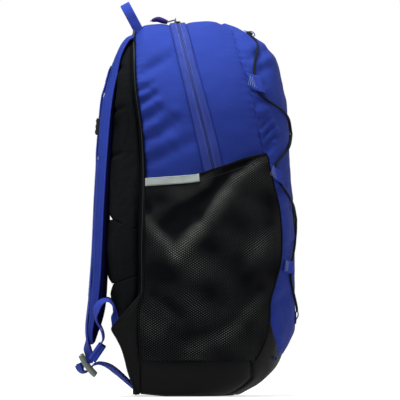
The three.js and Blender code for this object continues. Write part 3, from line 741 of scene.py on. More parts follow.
def build_gusset():
    points, h, _, _ = arch_grid(
        SHELL_LOW_Z, 420, 50, zip_phi(-1, -0.1), lambda z: front_seam_phi(z, -0.1))
    rear, front = edge_distances(points)
    along = h * np.ones_like(rear)
    lift = seam_dip(rear, 0.5, 2.4) + seam_dip(front, 1.0, 3) + pucker(front, along, 8, 0.55, 8, 10)
    lift += 1.5 * hump(rear / (rear + front + 1e-6)) * smooth_step(rear + front, 5, 40)
    lift += 0.7 * soft_field(points, 80, 9) + 0.2 * soft_field(points, 22, 10) + pocket_pull(points)
    lift += crown_puff(points)
    shaped = points + grid_normals(points) * lift[..., None]
    hidden = resample(shaped[:, 0] - grid_normals(shaped)[:, 0] * 1.8, 400)
    place(tube("zip_welt", hidden, 1.9, BLUE), "fold", "blue_fabric")
    piece = sheet_solid("gusset", shaped, CLOTH, [BLUE, INSIDE])
    place(piece, "fold", "blue_fabric", ["flap_gusset", *pair("front_gusset")])


FRONT_LOW_Z = 55
FRONT_ROWS, FRONT_COLUMNS = 220, 150


def front_lift(points, seam_gap):
    """How the stuffed front panel stands off the plain shell."""
    along = points[..., 2]
    lift = seam_dip(seam_gap, 1.1, 4) + pucker(seam_gap, along, 12, 0.7, 9, 11)
    lift += 1.2 * np.exp(-((seam_gap - 16) / 12) ** 2) - creases(points, FRONT_CREASES)
    return lift + 0.9 * soft_field(points, 60, 13) + 0.3 * soft_field(points, 20, 14)


def build_front():
    h = np.linspace(arch_length(TOP_Z - 0.6), arch_length(FRONT_LOW_Z), FRONT_ROWS)[:, None]
    s = np.linspace(-1, 1, FRONT_COLUMNS)[None, :]
    share = np.sign(s) * np.abs(s) ** 1.35
    points = front_point(h, share, -0.1)
    left, right = edge_distances(points)
    gap = np.minimum(left, right)
    lift = front_lift(points, gap)
    for crossing in CROSSINGS:
        away = ((points[..., 2] - crossing) / 15) ** 2 + (points[..., 0] / 13) ** 2
        lift -= CORD_DENT * np.exp(-away)
    shaped = points + grid_normals(points) * lift[..., None]
    inner = shaped - grid_normals(shaped) * 0.5
    welt = resample(np.concatenate([inner[::-1, 0], inner[:, -1]]), 500)
    place(tube("front_welt", welt, 1.5, BLUE), "fold", "blue_fabric")
    build_front_peak(shaped[0])
    piece = sheet_solid("front_panel", shaped, CLOTH, [BLUE, INSIDE])
    place(piece, "fold", "blue_fabric", ["front_panel_lower", "front_panel_upper"])


def build_front_peak(row):
    """The highest part of the front panel, between the two sides of its top row."""
    half = len(row) // 2
    across = np.linspace(-0.15, 1.15, 9)[None, :, None]
    points = lerp(row[:half, None], row[:-half - 1:-1, None], across)
    up = np.zeros_like(points)
    up[..., 2] = 1
    points = points + up * 0.8 * (1 - (2 * across - 1) ** 2)
    points = np.concatenate([points[:1] + [0, 10, -1.7], points])
    up = np.concatenate([up[:1], up])
    peak = sheet_solid("front_peak", points, CLOTH, [BLUE, INSIDE], normals=up)
    place(peak, "front_flap", "blue_fabric")


# ---- Zip ----
ZIP_RISE = 1.9  # the zip's tape stands off the shell
COIL_PITCH = 1.9
COIL_LOW_Z = 285  # the coil and the zip's seams run down to here
zip_profile = smooth_curve([[0, -0.25], [0.1, 0.5], [0.2, 1], [0.78, 1], [0.88, 0.6], [1, 0.3]])


def zip_line(side, gap, rows=400):
    """A line along the zip at a distance from its centre, with the shell's normals."""
    def beside(shift):
        return lambda z: phi_at(zip_y(z) + side * gap(z) + shift, z)

    points, _, _, _ = arch_grid(COIL_LOW_Z, rows, 3, beside(1.5), beside(-1.5))
    normals = grid_normals(points)
    points = points + normals * (crown_puff(points) + pocket_pull(points))[..., None]
    return points[:, 1], normals[:, 1]


def build_zip():
    for name, side, body in (("rear", 1, "pack"), ("front", -1, "fold")):
        build_zip_tape(name, side, body)
        build_coil(name, side, body)
        build_zip_seams(name, side, body)


def build_zip_tape(name, side, body):
    points, _, _, share = arch_grid(
        SHELL_LOW_Z, 420, 16, zip_phi(side), lambda z: phi_at(zip_y(z) + side * 0.4, z))
    lift = ZIP_RISE * zip_profile(share) + 0.2 * soft_field(points, 30, 20 + side)
    lift += crown_puff(points) + pocket_pull(points)
    shaped = points + grid_normals(points) * lift[..., None]
    tape = sheet_solid(f"zip_tape_{name}", shaped, 1.0, [ZIP_CLOTH, INSIDE])
    place(tape, body, "zip_coil", [f"zip_track_{name}"])


def build_zip_seams(name, side, body):
    """Two seams that hold the tape, and the finer thread that holds the coil."""
    blue, pale = (BLUE_THREAD, 2.8), (PALE_THREAD, 1.9, 0, 0.21)
    rows = (("seam", lambda z: tape_half(z) - 2.4, blue), ("inner", lambda z: 4.4 + 0 * z, blue),
            ("coil", lambda z: 2.9 + 0 * z, pale))
    for row, gap, thread in rows:
        line, normal = zip_line(side, gap)
        lifted = line + normal * (ZIP_RISE + 0.1)
        place(stitches(f"zip_stitch_{name}_{row}", lifted, normal, *thread), body, "zip_coil")


def build_coil(name, side, body):
    """The closed coil's back: a cord of small humps beside the centre line."""
    line, normal = zip_line(side, lambda z: 1.1 + 0 * z, 1500)
    along = arc_lengths(line)
    radius = 0.72 + 0.24 * np.abs(np.sin(np.pi * along / COIL_PITCH))
    line = line + normal * (ZIP_RISE * 0.5 + 0.3)
    place(tube(f"zip_coil_{name}", line, radius, ZIP_COIL, 6), body, "zip_coil")
    if body == "pack":
        middle, normal = zip_line(side, lambda z: 0 * z, 300)
        core = middle + normal * (ZIP_RISE * 0.5 - 0.25)
        place(tube("zip_core", core, 0.7, BLUE, 6), body, "zip_coil")


# ---- Base ----
BASE_FOOT = 6  # radius of the base's lower edge
BASE_LOW_Z = 0.6
BASE_FRONT_TOP_Z = 60
FLOOR_GAP = 0.5  # nothing of the base hangs lower than this
base_top_z = smooth_curve([[-80, 50], [-76, 50], [-25, 45.5], [20, 44], [42, 47.5], [69, 53], [72, 53]])


def build_base():
    for name, side in SIDES:
        build_base_side(name, side)
    build_base_front()
    build_floor()
    build_base_rear()
    for name, side in SIDES:
        build_wing(name, side)
        build_tongue(name, side)


def turned_under(points, z, lift):
    """Lifts a wall off the shell and turns its lower edge under; also says how far into the turn it is."""
    foot = np.clip((BASE_FOOT - z) / BASE_FOOT, 0, 1)
    return points + grid_normals(points) * (lift - BASE_FOOT * (1 - np.sqrt(1 - foot**2)))[..., None], foot


def build_base_side(name, side):
    v = np.linspace(0, 1, 60)[:, None]
    u = np.linspace(0, 1, 80)[None, :]
    rough_y = lerp(70.6, BASE_SEAM_Y, u) * np.ones_like(v)
    z = lerp(BASE_LOW_Z, base_top_z(rough_y) + 2, v)
    limit = shell_point(arch_length(z), BASE_SEAM_LIMIT)[..., 1]
    y = np.maximum(rough_y, lerp(rear_y(z) - 0.4, limit, u))
    points = side_point(y, z, side)
    edge_u = np.minimum(u, 1 - u) * 150 * np.ones_like(v)
    lift = 2.6 * hump(v, 0.7) * hump(u, 0.5) + seam_dip(edge_u, 1.6, 4)
    lift += seam_dip((1 - v) * 50, 1.4, 3) + 0.9 * soft_field(points, 55, 30 + side)
    shaped, foot = turned_under(points, z, lift)
    rise = 3.4 * smooth_step(shaped[..., 1], 30, 74) * foot
    shaped[..., 2] = np.maximum(shaped[..., 2] + rise, FLOOR_GAP)
    piece = sheet_solid(f"base_side_{name}", shaped, CLOTH, COATED)
    place(piece, "pack", "coated_fabric", [f"base_wall_{name}"])
    normals = grid_normals(points)
    rim = resample(shaped[-1] + normals[-1] * 0.8, 90)
    front = resample(shaped[:, -1] - normals[:, -1] * 0.5 + [0, -0.7, 0], 60)
    rear = resample(shaped[:, 0] + normals[:, 0] * 0.3, 40)
    for label, line, radius in (("piping", rim, 1.1), ("seam", front, 1.6), ("rear_seam", rear, 1.0)):
        place(tube(f"base_{label}_{name}", line, radius, COATED), "pack", "coated_fabric")
    line = shaped[-4] + normals[-4] * 0.1
    place(stitches(f"base_stitch_{name}", line, normals[-4], BLACK_THREAD), "pack", "coated_fabric")


def build_base_front():
    v = np.linspace(0, 1, 56)[:, None]
    s = np.linspace(-1, 1, 130)[None, :]
    share = np.sign(s) * np.abs(s) ** 1.3
    z = lerp(BASE_LOW_Z, BASE_FRONT_TOP_Z, v) * np.ones_like(s)
    seam = np.minimum(phi_at(BASE_SEAM_Y - 1.2, z), BASE_SEAM_LIMIT)
    points = shell_point(np.sign(s) * arch_length(z), 1 - np.abs(share) * (1 - seam))
    edge = (1 - np.abs(s)) * 130 * np.ones_like(v)
    lift = seam_dip(edge, 1.4, 4) + seam_dip((1 - v) * 58, 1.6, 4) + 1.8 * hump(v)
    lift += 1.1 * soft_field(points, 50, 33)
    shaped, _ = turned_under(points, z, lift)
    shaped[..., 2] = np.maximum(shaped[..., 2], FLOOR_GAP)
    piece = sheet_solid("base_front", shaped, CLOTH, COATED)
    place(piece, "pack", "coated_fabric", ["base_wall_front"])


def build_floor():
    """The underside: a slightly bellied sheet inside the turned-under walls."""
    ring = shell_point(arch_length(BASE_LOW_Z), np.linspace(0, 1, 60))[:, :2]
    ring = np.concatenate([ring, (ring[:-1] * [-1, 1])[::-1]])
    middle = np.array([0, 8])
    spread = np.linspace(0, 1, 30)[:, None, None]
    flat = middle + (ring - middle)[None] * spread * 0.965
    rise = 0.7 + 3.0 * smooth_step(flat[..., 1], 34, 74) + 0.5 * spread[..., 0] ** 8
    outer = np.concatenate([flat, rise[..., None]], axis=-1)
    down = np.zeros_like(outer)
    down[..., 2] = -1
    outer[0] += 0.01 * np.concatenate([ring - middle, 0 * ring[:, :1]], axis=1)
    piece = sheet_solid("base_floor_cloth", outer, CLOTH, COATED, normals=down)
    place(piece, "pack", "coated_fabric", ["base_floor"])


def build_base_rear():
    """The slanting panel below the lowest pad."""
    slant = smooth_curve([[2, 75], [31, 84], [52, 90], [70, 97]])
    z = np.linspace(3.5, 70, 36)[:, None]
    s = np.linspace(-1, 1, 90)[None, :]
    reach = half_width(z) - 4
    y = slant(z) + 1.5 * np.sin(np.pi * (z - 3) / 67) * (1 - s**4)
    points = np.stack(np.broadcast_arrays(s * reach, y, z), axis=-1)
    normals = grid_normals(points)
    points = points + normals * (0.7 * soft_field(points, 50, 35))[..., None]
    piece = sheet_solid("base_rear_cloth", points, CLOTH, COATED)
    place(piece, "pack", "coated_fabric", ["base_wall_rear"])


wing_edge_y = smooth_curve([
    [2, 74], [8, 76], [30, 83], [58, 90.5], [76, 99], [88, 105.8], [92, 104], [110, 88], [136, 66]])


def build_wing(name, side):
    """The triangular gusset that the waist webbing comes out of."""
    z = np.linspace(3.5, 133, 70)[:, None]
    t = np.linspace(0, 1, 40)[None, :]
    rear = rear_y(z) - 0.5
    y = lerp(rear, np.maximum(wing_edge_y(z), rear + 0.6), t)
    x = shell_point(arch_length(z), 0)[..., 0] + 0.4 + 2.0 * np.sin(np.pi * t) * smooth_step(z, 10, 60)
    points = np.stack(np.broadcast_arrays(side * x, y, z), axis=-1)
    points[..., 0] += side * (0.6 * soft_field(points, 40, 36))
    heart = np.array([0, 80, 70])
    piece = sheet_solid(f"wing_cloth_{name}", points, 2.2, COATED, heart)
    place(piece, "pack", "coated_fabric", [f"base_wing_{name}"])
    rim = resample(points[:, -1], 80)
    place(tube(f"wing_binding_{name}", rim, 1.5, COATED), "pack", "coated_fabric")
    inset = resample(points[:, -5], 60) + [side * 0.4, 0, 0]
    out = np.zeros_like(inset)
    out[:, 0] = side
    place(stitches(f"wing_stitch_{name}", inset, out, BLACK_THREAD), "pack", "coated_fabric")


pocket_front_y = smooth_curve([
    [44, -74], [55, -82], [75, -91], [100, -96], [123, -97], [146, -103], [174, -110],
    [208, -111.5], [244, -108.5], [272, -102], [318, -91]])
pocket_rear_y = smooth_curve([[44, 69], [110, 71], [136, 65], [290, 63]])
pocket_top_z = smooth_curve([[-95, 315], [-65, 308], [-43, 300], [-23, 293], [-2, 286], [68, 282]])


def build_tongue(name, side):
    """Coated cloth that rises from the base between the pocket and the front panel."""
    z = np.linspace(46, 112, 60)[:, None]
    t = np.linspace(0, 1, 24)[None, :]
    rear = pocket_front_y(z) + 4
    front = np.maximum(front_seam_y(z), -113) + 0.3
    y = lerp(rear, front, t)
    points = side_point(y, z, side)
    normals = grid_normals(points)
    edge = np.minimum(t, 1 - t) * 20 * np.ones_like(z)
    lift = 2.6 - 1.2 * np.exp(-edge / 2) + 0.4 * soft_field(points, 30, 37)
    piece = sheet_solid(f"base_tongue_{name}", points + normals * lift[..., None], 1.6, COATED)
    place(piece, "pack", "coated_fabric")


# ---- Side pockets ----
# Folds of the slack mesh, as for creases; a negative depth stands out
POCKET_FOLDS = [
    (-90, 307, -54, 283, 7, -3.4), (-54, 283, -6, 217, 10, -5.6), (-6, 217, 23, 183, 9, -5.4),
    (62, 229, 23, 183, 8, -3.8), (-58, 299, -12, 252, 13, 3.2), (-12, 252, 38, 219, 13, 3.0),
    (56, 262, 22, 250, 10, 1.0), (-86, 128, -38, 76, 7, -1.5), (-58, 88, 6, 62, 8, -1.2),
    (-96, 210, -66, 168, 9, -1.4), (50, 118, 18, 96, 9, -1.2),
]
POCKET_LOW_Z = 45
POCKET_STAND_OFF = 11


def pocket_point(u, v, side, lift):
    """A place on a pocket: u runs from its rear edge to its front, v from its foot to its hem."""
    rough_z = lerp(POCKET_LOW_Z, 295, v)
    rough_y = lerp(pocket_rear_y(rough_z), pocket_front_y(rough_z), u)
    z = lerp(POCKET_LOW_Z, pocket_top_z(rough_y), v)
    points = side_point(lerp(pocket_rear_y(z), pocket_front_y(z), u), z, side)
    normals = grid_normals(points)
    stand = POCKET_STAND_OFF * hump(u) * (0.25 + 0.75 * v)
    full = 2.2 + stand * smooth_step(v, 0, 0.06) - creases(points, POCKET_FOLDS) * np.minimum(1, 5 * v)
    ripple = 0.9 * soft_field(points, 42, 50) + 0.35 * soft_field(points, 15, 51)
    gather = 0.5 * smooth_step(v, 0.8, 1) * np.sin(u * 64 + 2 * soft_field(points, 60, 52))
    sides = np.minimum(1, 12 * np.minimum(u, 1 - u))
    return points + normals * (full + (ripple + gather) * sides + lift)[..., None], normals


def build_pockets():
    u = np.linspace(0, 1, 150)[None, :]
    v = np.linspace(0.012, 1, 190)[:, None]
    for name, side in SIDES:
        points, normals = pocket_point(u, v, side, 0)
        pocket = sheet_solid(f"pocket_net_{name}", points, 0.9, POCKET, normals=normals)
        # Painted light for the net: glints are painted brighter on the fold ridges and almost left out in the
        # sunken, shaded valleys.
        relief = -creases(points, POCKET_FOLDS) + 0.7 * soft_field(points, 55, 53)
        set_places(pocket, "painted_fold_light", np.clip(0.11 + 0.15 * relief, 0.01, 1))
        place(pocket, "pack", "pocket_mesh", [f"pocket_mesh_{name}"])
        hem = ribbon(f"pocket_hem_{name}", resample(points[-2] + normals[-2] * 0.1, 160),
                     np.array([0, 0, 1]), 1.5, 1.7, POCKET_HEM)
        place(hem, "pack", "pocket_mesh")
        for edge, column in (("rear", 0), ("front", -1)):
            line = resample(points[:, column] + normals[:, column] * 0.2, 120)
            binding = tube(f"pocket_{edge}_binding_{name}", line, 1.3, POCKET_HEM)
            place(binding, "pack", "pocket_mesh")
        line = points[-9] + normals[-9] * 0.25
        place(stitches(f"pocket_stitch_{name}", line, normals[-9], BLACK_THREAD, 3), "pack", "pocket_mesh")
        build_strip(name, side)


def build_strip(name, side):
    """The reflective strip along the rear of the pocket's hem."""
    u = np.linspace(0.004, 0.425, 70)[None, :]
    v = np.linspace(0.957, 0.999, 12)[:, None]
    points, normals = pocket_point(u, v, side, 1.9)
    strip = sheet_solid(f"reflective_band_{name}", points, 0.7, REFLECTIVE, normals=normals)
    place(strip, "pack", "reflective_tape", [f"reflective_strip_{name}"])
    for k, row in enumerate((1, -2)):
        thread = stitches(f"reflective_stitch_{name}_{k}", points[row, 2:-2], normals[1, 2:-2],
                          BLACK_THREAD, 2.6, 0.05, 0.3)
        place(thread, "pack", "reflective_tape")


# ---- Back ----
pad_rear_y = smooth_curve([
    [60, 94], [82, 100], [109, 103], [140, 108], [190, 112.5], [281, 108.5], [350, 103.5], [400, 99],
    [430, 95.5], [450, 91], [463, 86]])
PRESSED = 4.5  # length that neighbouring pads squeeze out of one another
SWELL = 2.5  # the stuffing pushes a pad's skin out by about this much
PAD_GAP = 0.3  # between a pad's edge and the line it shares with its neighbour
PAD_VOXEL = 4
PAD_PRESSURE = 4
CLOTH_STEPS = 20
PADS = {  # heights of the lower edge and the upper edge, at the seam side and at the rear
    "lower": ((66, 70), (160.2, 144.9)),
    "middle": ((160.3, 145.2), (213.4, 231.5)),
    "upper": ((213.6, 231.8), (463, 461)),
}


def pad_blank(name, low, high, rings=64, sides=72):
    """A pad's shape before it is stuffed."""
    angle = np.linspace(0, 2 * np.pi, sides, endpoint=False)[None, :]
    v = np.linspace(0, 1, rings)[:, None]
    across = np.sign(np.cos(angle)) * np.abs(np.cos(angle)) ** 0.3
    back = (1 + np.sign(np.sin(angle)) * np.abs(np.sin(angle)) ** 0.4) / 2
    z = lerp(lerp(*low, back) - PRESSED, lerp(*high, back) + PRESSED, v)
    ends = np.minimum(v, 1 - v) * (high[0] - low[0])
    fullness = np.minimum(1, 0.98 + 0.02 * np.sqrt(np.clip(ends / 9, 0, 1)))
    front = rear_y(z) + 3.4
    y = lerp(front, front + (pad_rear_y(z) - SWELL - front) * fullness, back)
    x = across * (np.abs(shell_point(arch_length(z), 0)[..., 0]) - 4.5)
    points = np.stack([x, y, z * np.ones_like(x)], axis=-1)
    return ring_solid(name, points, BACK_MESH)


def applied(piece):
    """Replaces a piece's mesh by what its modifiers make of it."""
    graph = bpy.context.evaluated_depsgraph_get()
    mesh = bpy.data.meshes.new_from_object(piece.evaluated_get(graph))
    piece.modifiers.clear()
    piece.data = mesh
    mesh.name = piece.name
    mesh.polygons.foreach_set("use_smooth", [True] * len(mesh.polygons))
    return piece


def vertex_values(mesh, field):
    found = np.zeros(len(mesh.vertices) * 3, np.float32)
    mesh.vertices.foreach_get(field, found)
    return found.reshape(-1, 3).astype(float)


def coordinates(mesh):
    return vertex_values(mesh, "co")


def set_coordinates(mesh, points):
    mesh.vertices.foreach_set("co", np.asarray(points, np.float32).ravel())
    mesh.update()


def remeshed(piece, voxel_mm):
    modifier = piece.modifiers.new("remesh", "REMESH")
    modifier.mode = "VOXEL"
    modifier.voxel_size = voxel_mm * MM
    return applied(piece)


def stuffed(piece, cap_mm, pinned):
    """Cloth simulation under inner pressure; points of the rest shape where pinned() holds stay put."""
    remeshed(piece, PAD_VOXEL)
    rest = coordinates(piece.data)
    group = piece.vertex_groups.new(name="pinned")
    group.add(np.flatnonzero(pinned(rest / MM)).tolist(), 1.0, "REPLACE")
    cloth = piece.modifiers.new("cloth", "CLOTH")
    cloth.settings.use_pressure = True
    cloth.settings.uniform_pressure_force = PAD_PRESSURE
    cloth.settings.effector_weights.gravity = 0
    cloth.settings.vertex_group_mass = "pinned"
    cloth.settings.quality = 5
    cloth.point_cache.frame_start, cloth.point_cache.frame_end = 1, CLOTH_STEPS
    for step in range(1, CLOTH_STEPS + 1):
        bpy.context.scene.frame_set(step)
    graph = bpy.context.evaluated_depsgraph_get()
    moved = coordinates(piece.evaluated_get(graph).data) - rest
    far = np.linalg.norm(moved, axis=1, keepdims=True)
    piece.modifiers.clear()
    set_coordinates(piece.data, rest + moved * np.minimum(1, cap_mm * MM / np.maximum(far, 1e-9)))
    bpy.context.scene.frame_set(1)


def subdivided(piece):
    modifier = piece.modifiers.new("smooth", "SUBSURF")
    modifier.levels = modifier.render_levels = 1
    return applied(piece)


def quilting(points):
    """Slanting channels in the upper pad, on both sides of its groove."""
    total = 0.0
    for centre in (290, 350, 408):
        rise = points[:, 2] - centre - 0.22 * np.abs(points[:, 0])
        total = total + 2.4 * np.exp(-((rise / 3.2) ** 2)) * smooth_step(np.abs(points[:, 0]), 14, 24)
    return total


def build_pads():
    for name, (low, high) in PADS.items():
        piece = pad_blank(f"back_cushion_{name}", low, high)
        stuffed(piece, SWELL + 1.5, lambda p: p[:, 1] < rear_y(p[:, 2]) + 6)
        subdivided(piece)
        points = coordinates(piece.data) / MM
        front = rear_y(points[:, 2])
        behind = smooth_step(points[:, 1], front + 10, front + 22)
        groove = 6.5 * np.exp(-((points[:, 0] / 9) ** 2)) if name != "lower" else 0
        back = np.clip((points[:, 1] - front) / (pad_rear_y(points[:, 2]) - front), 0, 1)
        points[:, 2] = np.clip(points[:, 2], lerp(*low, back) + PAD_GAP, lerp(*high, back) - PAD_GAP)
        quilt = quilting(points) if name == "upper" else 0.0
        points[:, 1] -= behind * (groove + quilt - 0.5 * soft_field(points, 45, 60))
        set_coordinates(piece.data, points * MM)
        place(piece, "pack", "back_mesh", [f"back_pad_{name}"])


def build_back():
    z = np.linspace(3.5, 476, 154)[:, None]
    s = np.linspace(-1, 1, 60)[None, :]
    edge = np.abs(shell_point(arch_length(z), 0)[..., 0]) - 1.0
    depth = 6 - 5.5 * smooth_step(z, 462, 472)
    y = rear_y(z) + 2.2 + depth * np.minimum(1, 9 * (1 - np.abs(s)))
    points = np.stack(np.broadcast_arrays(s * edge, y, z), axis=-1)
    board = sheet_solid("back_cloth", points, 2, [BACK_BOARD, INSIDE])
    place(board, "pack", "back_mesh", ["back_panel"])
    reach = arch_length(SHELL_LOW_Z)
    seam = shell_point(np.linspace(-reach, reach, 400), 0) + [0, 0.6, 0]
    place(tube("rear_seam_binding", seam, 1.1, BACK_BOARD), "pack", "back_mesh")
    build_pads()
    build_sleeve()


def build_sleeve():
    """The padded sleeve for a laptop, bound along its top edge."""
    half = [[60, 40], [104, 41], [111, 46], [111, 61]]
    outline = smooth_path([[-x, y] for x, y in half[::-1]] + half, 90)
    z = np.linspace(10.5, 299, 60)[:, None]
    points = np.stack(np.broadcast_arrays(outline[None, :, 0], outline[None, :, 1], z), axis=-1)
    heart = np.array([0, 200, 150])
    points = points + grid_normals(points, heart) * (0.8 * soft_field(points, 60, 61))[..., None]
    sleeve = sheet_solid("laptop_pocket", points, 3, INSIDE, heart)
    place(sleeve, "pack", "lining_fabric", ["laptop_sleeve"])
    binding = tube("laptop_pocket_binding", points[-1] + [0, 1.4, 0], 2.2, POCKET_HEM)
    place(binding, "pack", "lining_fabric")


# ---- Shoulder straps ----
STERNUM_Z = 350
STERNUM_X = 66
STRAP_PATH = [  # the outer face, on the wearer's right
    [43, 78.5, 468], [44.5, 87, 464], [48, 100, 443], [54, 112, 408], [62, 118.5, 370], [71, 123, 320],
    [80, 127, 260], [88, 131, 190], [93, 136, 130], [97, 139.5, 90], [98, 137, 68]]
STRAP_STEPS = 130
strap_half = smooth_curve([[0, 28], [0.3, 32], [0.55, 31], [0.8, 26], [0.93, 20], [0.975, 15], [1, 7]])
strap_depth = smooth_curve([
    [0, 4], [0.08, 9], [0.16, 15], [0.5, 18.5], [0.72, 18.5], [0.88, 19], [0.95, 15], [1, 7]])
lining_depth = smooth_curve([[0, 1.6], [0.16, 5.5], [0.4, 7.5], [0.75, 10], [0.9, 12.3], [0.96, 9.5], [1, 3]])
strap_twist = smooth_curve([[0, 0], [0.55, 0], [0.75, 3], [0.9, 6], [1, 5]])


def strap_frame(side):
    """The strap's line with its directions across and out, twisting outwards at its foot."""
    path = smooth_path(STRAP_PATH, STRAP_STEPS) * [side, 1, 1]
    along = tangents(path)
    out = unit(np.stack([0 * along[:, 0], -along[:, 2], along[:, 1]], axis=-1))
    across = np.broadcast_to([1.0, 0, 0], out.shape)
    t = np.linspace(0, 1, STRAP_STEPS)
    turn = np.radians(strap_twist(t))[:, None]
    path = path - out * strap_half(t)[:, None] * np.sin(turn)
    return (path, across * np.cos(turn) - side * out * np.sin(turn),
            out * np.cos(turn) + side * across * np.sin(turn))


def build_strap(name, side):
    path, across, out = strap_frame(side)
    t = np.linspace(0, 1, STRAP_STEPS)
    a = np.sin(np.linspace(-np.pi / 2, np.pi / 2, 29))
    dome = np.maximum(1 - np.abs(a) ** 3.4, 0) ** 0.5
    half = strap_half(t)[:, None]
    split = -(strap_depth(t) - lining_depth(t))[:, None]
    crown = 1.2 + 0.5 * soft_field(path, 45, 70 + side)[:, None]
    channel = 1.0 * np.exp(-(((np.abs(a) - 0.8) * half / 1.8) ** 2))
    ripple = 0.35 * soft_field(np.stack(np.broadcast_arrays(t[:, None] * 420, a[None] * 30), -1), 26, 72)
    top = split + (crown - split) * dome[None] - channel * dome[None] + ripple * dome[None]
    run = 1 - smooth_step(np.abs(path[:, 2:] - STERNUM_Z), 34, 48)  # where the sternum strap slides
    top -= 2.2 * run * (1 - smooth_step(np.abs(a), 0.5, 0.62))[None]
    top += 2.4 * run * np.exp(-(((a * side - 0.76) / 0.13) ** 2))[None]
    bottom = -strap_depth(t)[:, None] + (split + strap_depth(t)[:, None]) * (1 - dome[None]) + 0.7 * channel
    flat = split * np.ones_like(a)[None] - 0.1

    def ring(upper, lower, trim):
        offsets = np.concatenate([upper, lower[:, -2:0:-1]], axis=1)
        sides = np.concatenate([a, a[-2:0:-1]])[None] * (half - trim)
        return path[:, None] + sides[..., None] * across[:, None] + offsets[..., None] * out[:, None]

    shell = ring_solid(f"strap_cushion_{name}", ring(top, flat + 0.2, 0), BLUE)
    place(shell, f"strap_{name}", "blue_fabric", [f"shoulder_strap_{name}"])
    lining = ring_solid(f"strap_liner_{name}", ring(flat, bottom, 0.6), LINING)
    place(lining, f"strap_{name}", "lining_fabric", [f"strap_lining_{name}"])
    for edge in (-1, 1):
        line = path + edge * (half - 0.2) * across + split * out
        label = "inner" if edge * side < 0 else "outer"
        place(tube(f"strap_binding_{label}_{name}", line, 1.3, BLUE_TAPE), f"strap_{name}", "blue_webbing")
        seam = path + edge * 0.8 * half * across + (split + (crown - split) * 0.86 - 0.75) * out
        thread = stitches(f"strap_stitch_{label}_{name}", seam[6:-4], out[6:-4], BLUE_THREAD)
        place(thread, f"strap_{name}", "blue_fabric")


tape_x = smooth_curve([[45, 98], [90, 97], [190, 88], [290, 68], [430, 62]])
tape_rise = smooth_curve([[60, 0.4], [300, 0.4], [312, 1.3], [352, 1.3], [388, 1.9], [402, 0.4], [430, 0.3]])
TAPE_LOW_Z, TAPE_TOP_Z = 70, 428  # the tape lies on the strap between these heights
LOCK_X, LOCK_Y, LOCK_Z = 98, 138, 40
LOCK_LEAN = math.atan2(20.5, 28)
LOCK_HALF = 16.6  # half of a lock's length
LOCK_RAIL_X = 13.6  # from a lock's middle to each rail


def lock_point(along, off=0.0, x=0.0):
    """A place on a ladder lock: along its length from its middle, and off it towards the pack."""
    along, off, x = np.broadcast_arrays(along, off, x)
    y = LOCK_Y + along * math.sin(LOCK_LEAN) - off * math.cos(LOCK_LEAN)
    z = LOCK_Z + along * math.cos(LOCK_LEAN) + off * math.sin(LOCK_LEAN)
    return np.stack([x, y, z], axis=-1).astype(float)


def build_strap_tape(name, side):
    """The webbing on the strap's face, which runs on round the ladder lock's middle bar."""
    path, across, out = strap_frame(side)
    held = (path[:, 2] < TAPE_TOP_Z) & (path[:, 2] > TAPE_LOW_Z)
    shift = (tape_x(path[:, 2]) - np.abs(path[:, 0])) * side
    over = path + across * shift[:, None] + out * (tape_rise(path[:, 2]) + 1.3)[:, None]
    bar = lock_point(1.5, 0, side * LOCK_X)
    wrap = [bar + 4.4 * np.array([0, math.cos(a), math.sin(a)]) for a in np.radians([150, 100, 50, 0, -45])]
    tail = [[side * LOCK_X, 138.5, 62], [side * LOCK_X, 136.4, 54], *wrap]
    knots = np.concatenate([over[held][::3], tail])
    points = smooth_path(knots, 200)
    widths = np.concatenate([across[held][::3], np.tile([1.0, 0, 0], (len(tail), 1))])
    widths[-len(tail):3 - len(tail)] = [0.9, -0.43 * side, 0]
    spread = arc_lengths(knots) / arc_lengths(knots)[-1]
    even = np.linspace(0, 1, len(points))
    widths = np.stack([np.interp(even, spread, widths[:, k]) for k in range(3)], axis=-1)
    tape = ribbon(f"strap_webbing_{name}", points, widths, 10, 1.5, BLUE_TAPE)
    place(tape, f"strap_{name}", "blue_webbing", [f"strap_tape_{name}"])
    outward = out_of(points, widths)[4:150]
    for label, edge in (("a", -8.2), ("b", 8.2)):
        line = points[4:150] + widths[4:150] * edge + outward * 0.8
        thread = stitches(f"strap_tape_stitch_{label}_{name}", line, outward, BLUE_THREAD, 3)
        place(thread, f"strap_{name}", "blue_webbing")
    cross = box_stitch(f"strap_box_{name}", points[6], widths[6], tangents(points)[6], 8, 9)
    place(cross, f"strap_{name}", "blue_webbing")


def out_of(points, widths):
    """The outward side of webbing whose width runs across X."""
    out = unit(np.cross(widths, tangents(points)))
    return out * np.where(out[:, 1:2] < 0, -1, 1)


def box_stitch(name, centre, across, along, half_across, half_along, lift=0.9, thread=0.4):
    """A stitched box with a cross in it."""
    across, along = unit(np.asarray(across, float)), unit(np.asarray(along, float))
    out = unit(np.cross(across, along))
    if out @ (np.asarray(centre) - HEART) < 0:
        out = -out
    corners = [(-1, -1), (1, -1), (1, 1), (-1, 1), (-1, -1), (1, 1), (1, -1), (-1, 1)]
    line = np.array([centre + across * a * half_across + along * b * half_along for a, b in corners])
    line = np.concatenate([resample(line[k:k + 2], 12)[:-1] for k in range(len(line) - 1)])
    normals = np.tile(out, (len(line), 1))
    return stitches(name, line + out * lift, normals, BLUE_THREAD, 2.2, 0.0, thread)


# ---- Webbing at the foot of the pack ----
ADJUSTER_PATH = [  # y, z from the tail, round the lock's bar, to the base's corner
    [150.5, 41.5], [148.5, 37], [144.5, 31.6], [139.5, 32], [134.8, 36.5], [129.5, 41.2], [122, 42.4],
    [111, 38.6], [101, 32], [90, 22.5], [80, 13.5], [74, 9]]
WAIST_PATH = [  # y, z from the wing's tip to the hem
    [98, 90], [99, 97], [101, 104], [102, 112], [105, 120], [111, 125.2], [118, 124], [124.5, 117],
    [127, 108], [126, 99], [122, 91], [118.5, 83], [117.6, 74], [121, 67], [126, 60], [132, 51]]


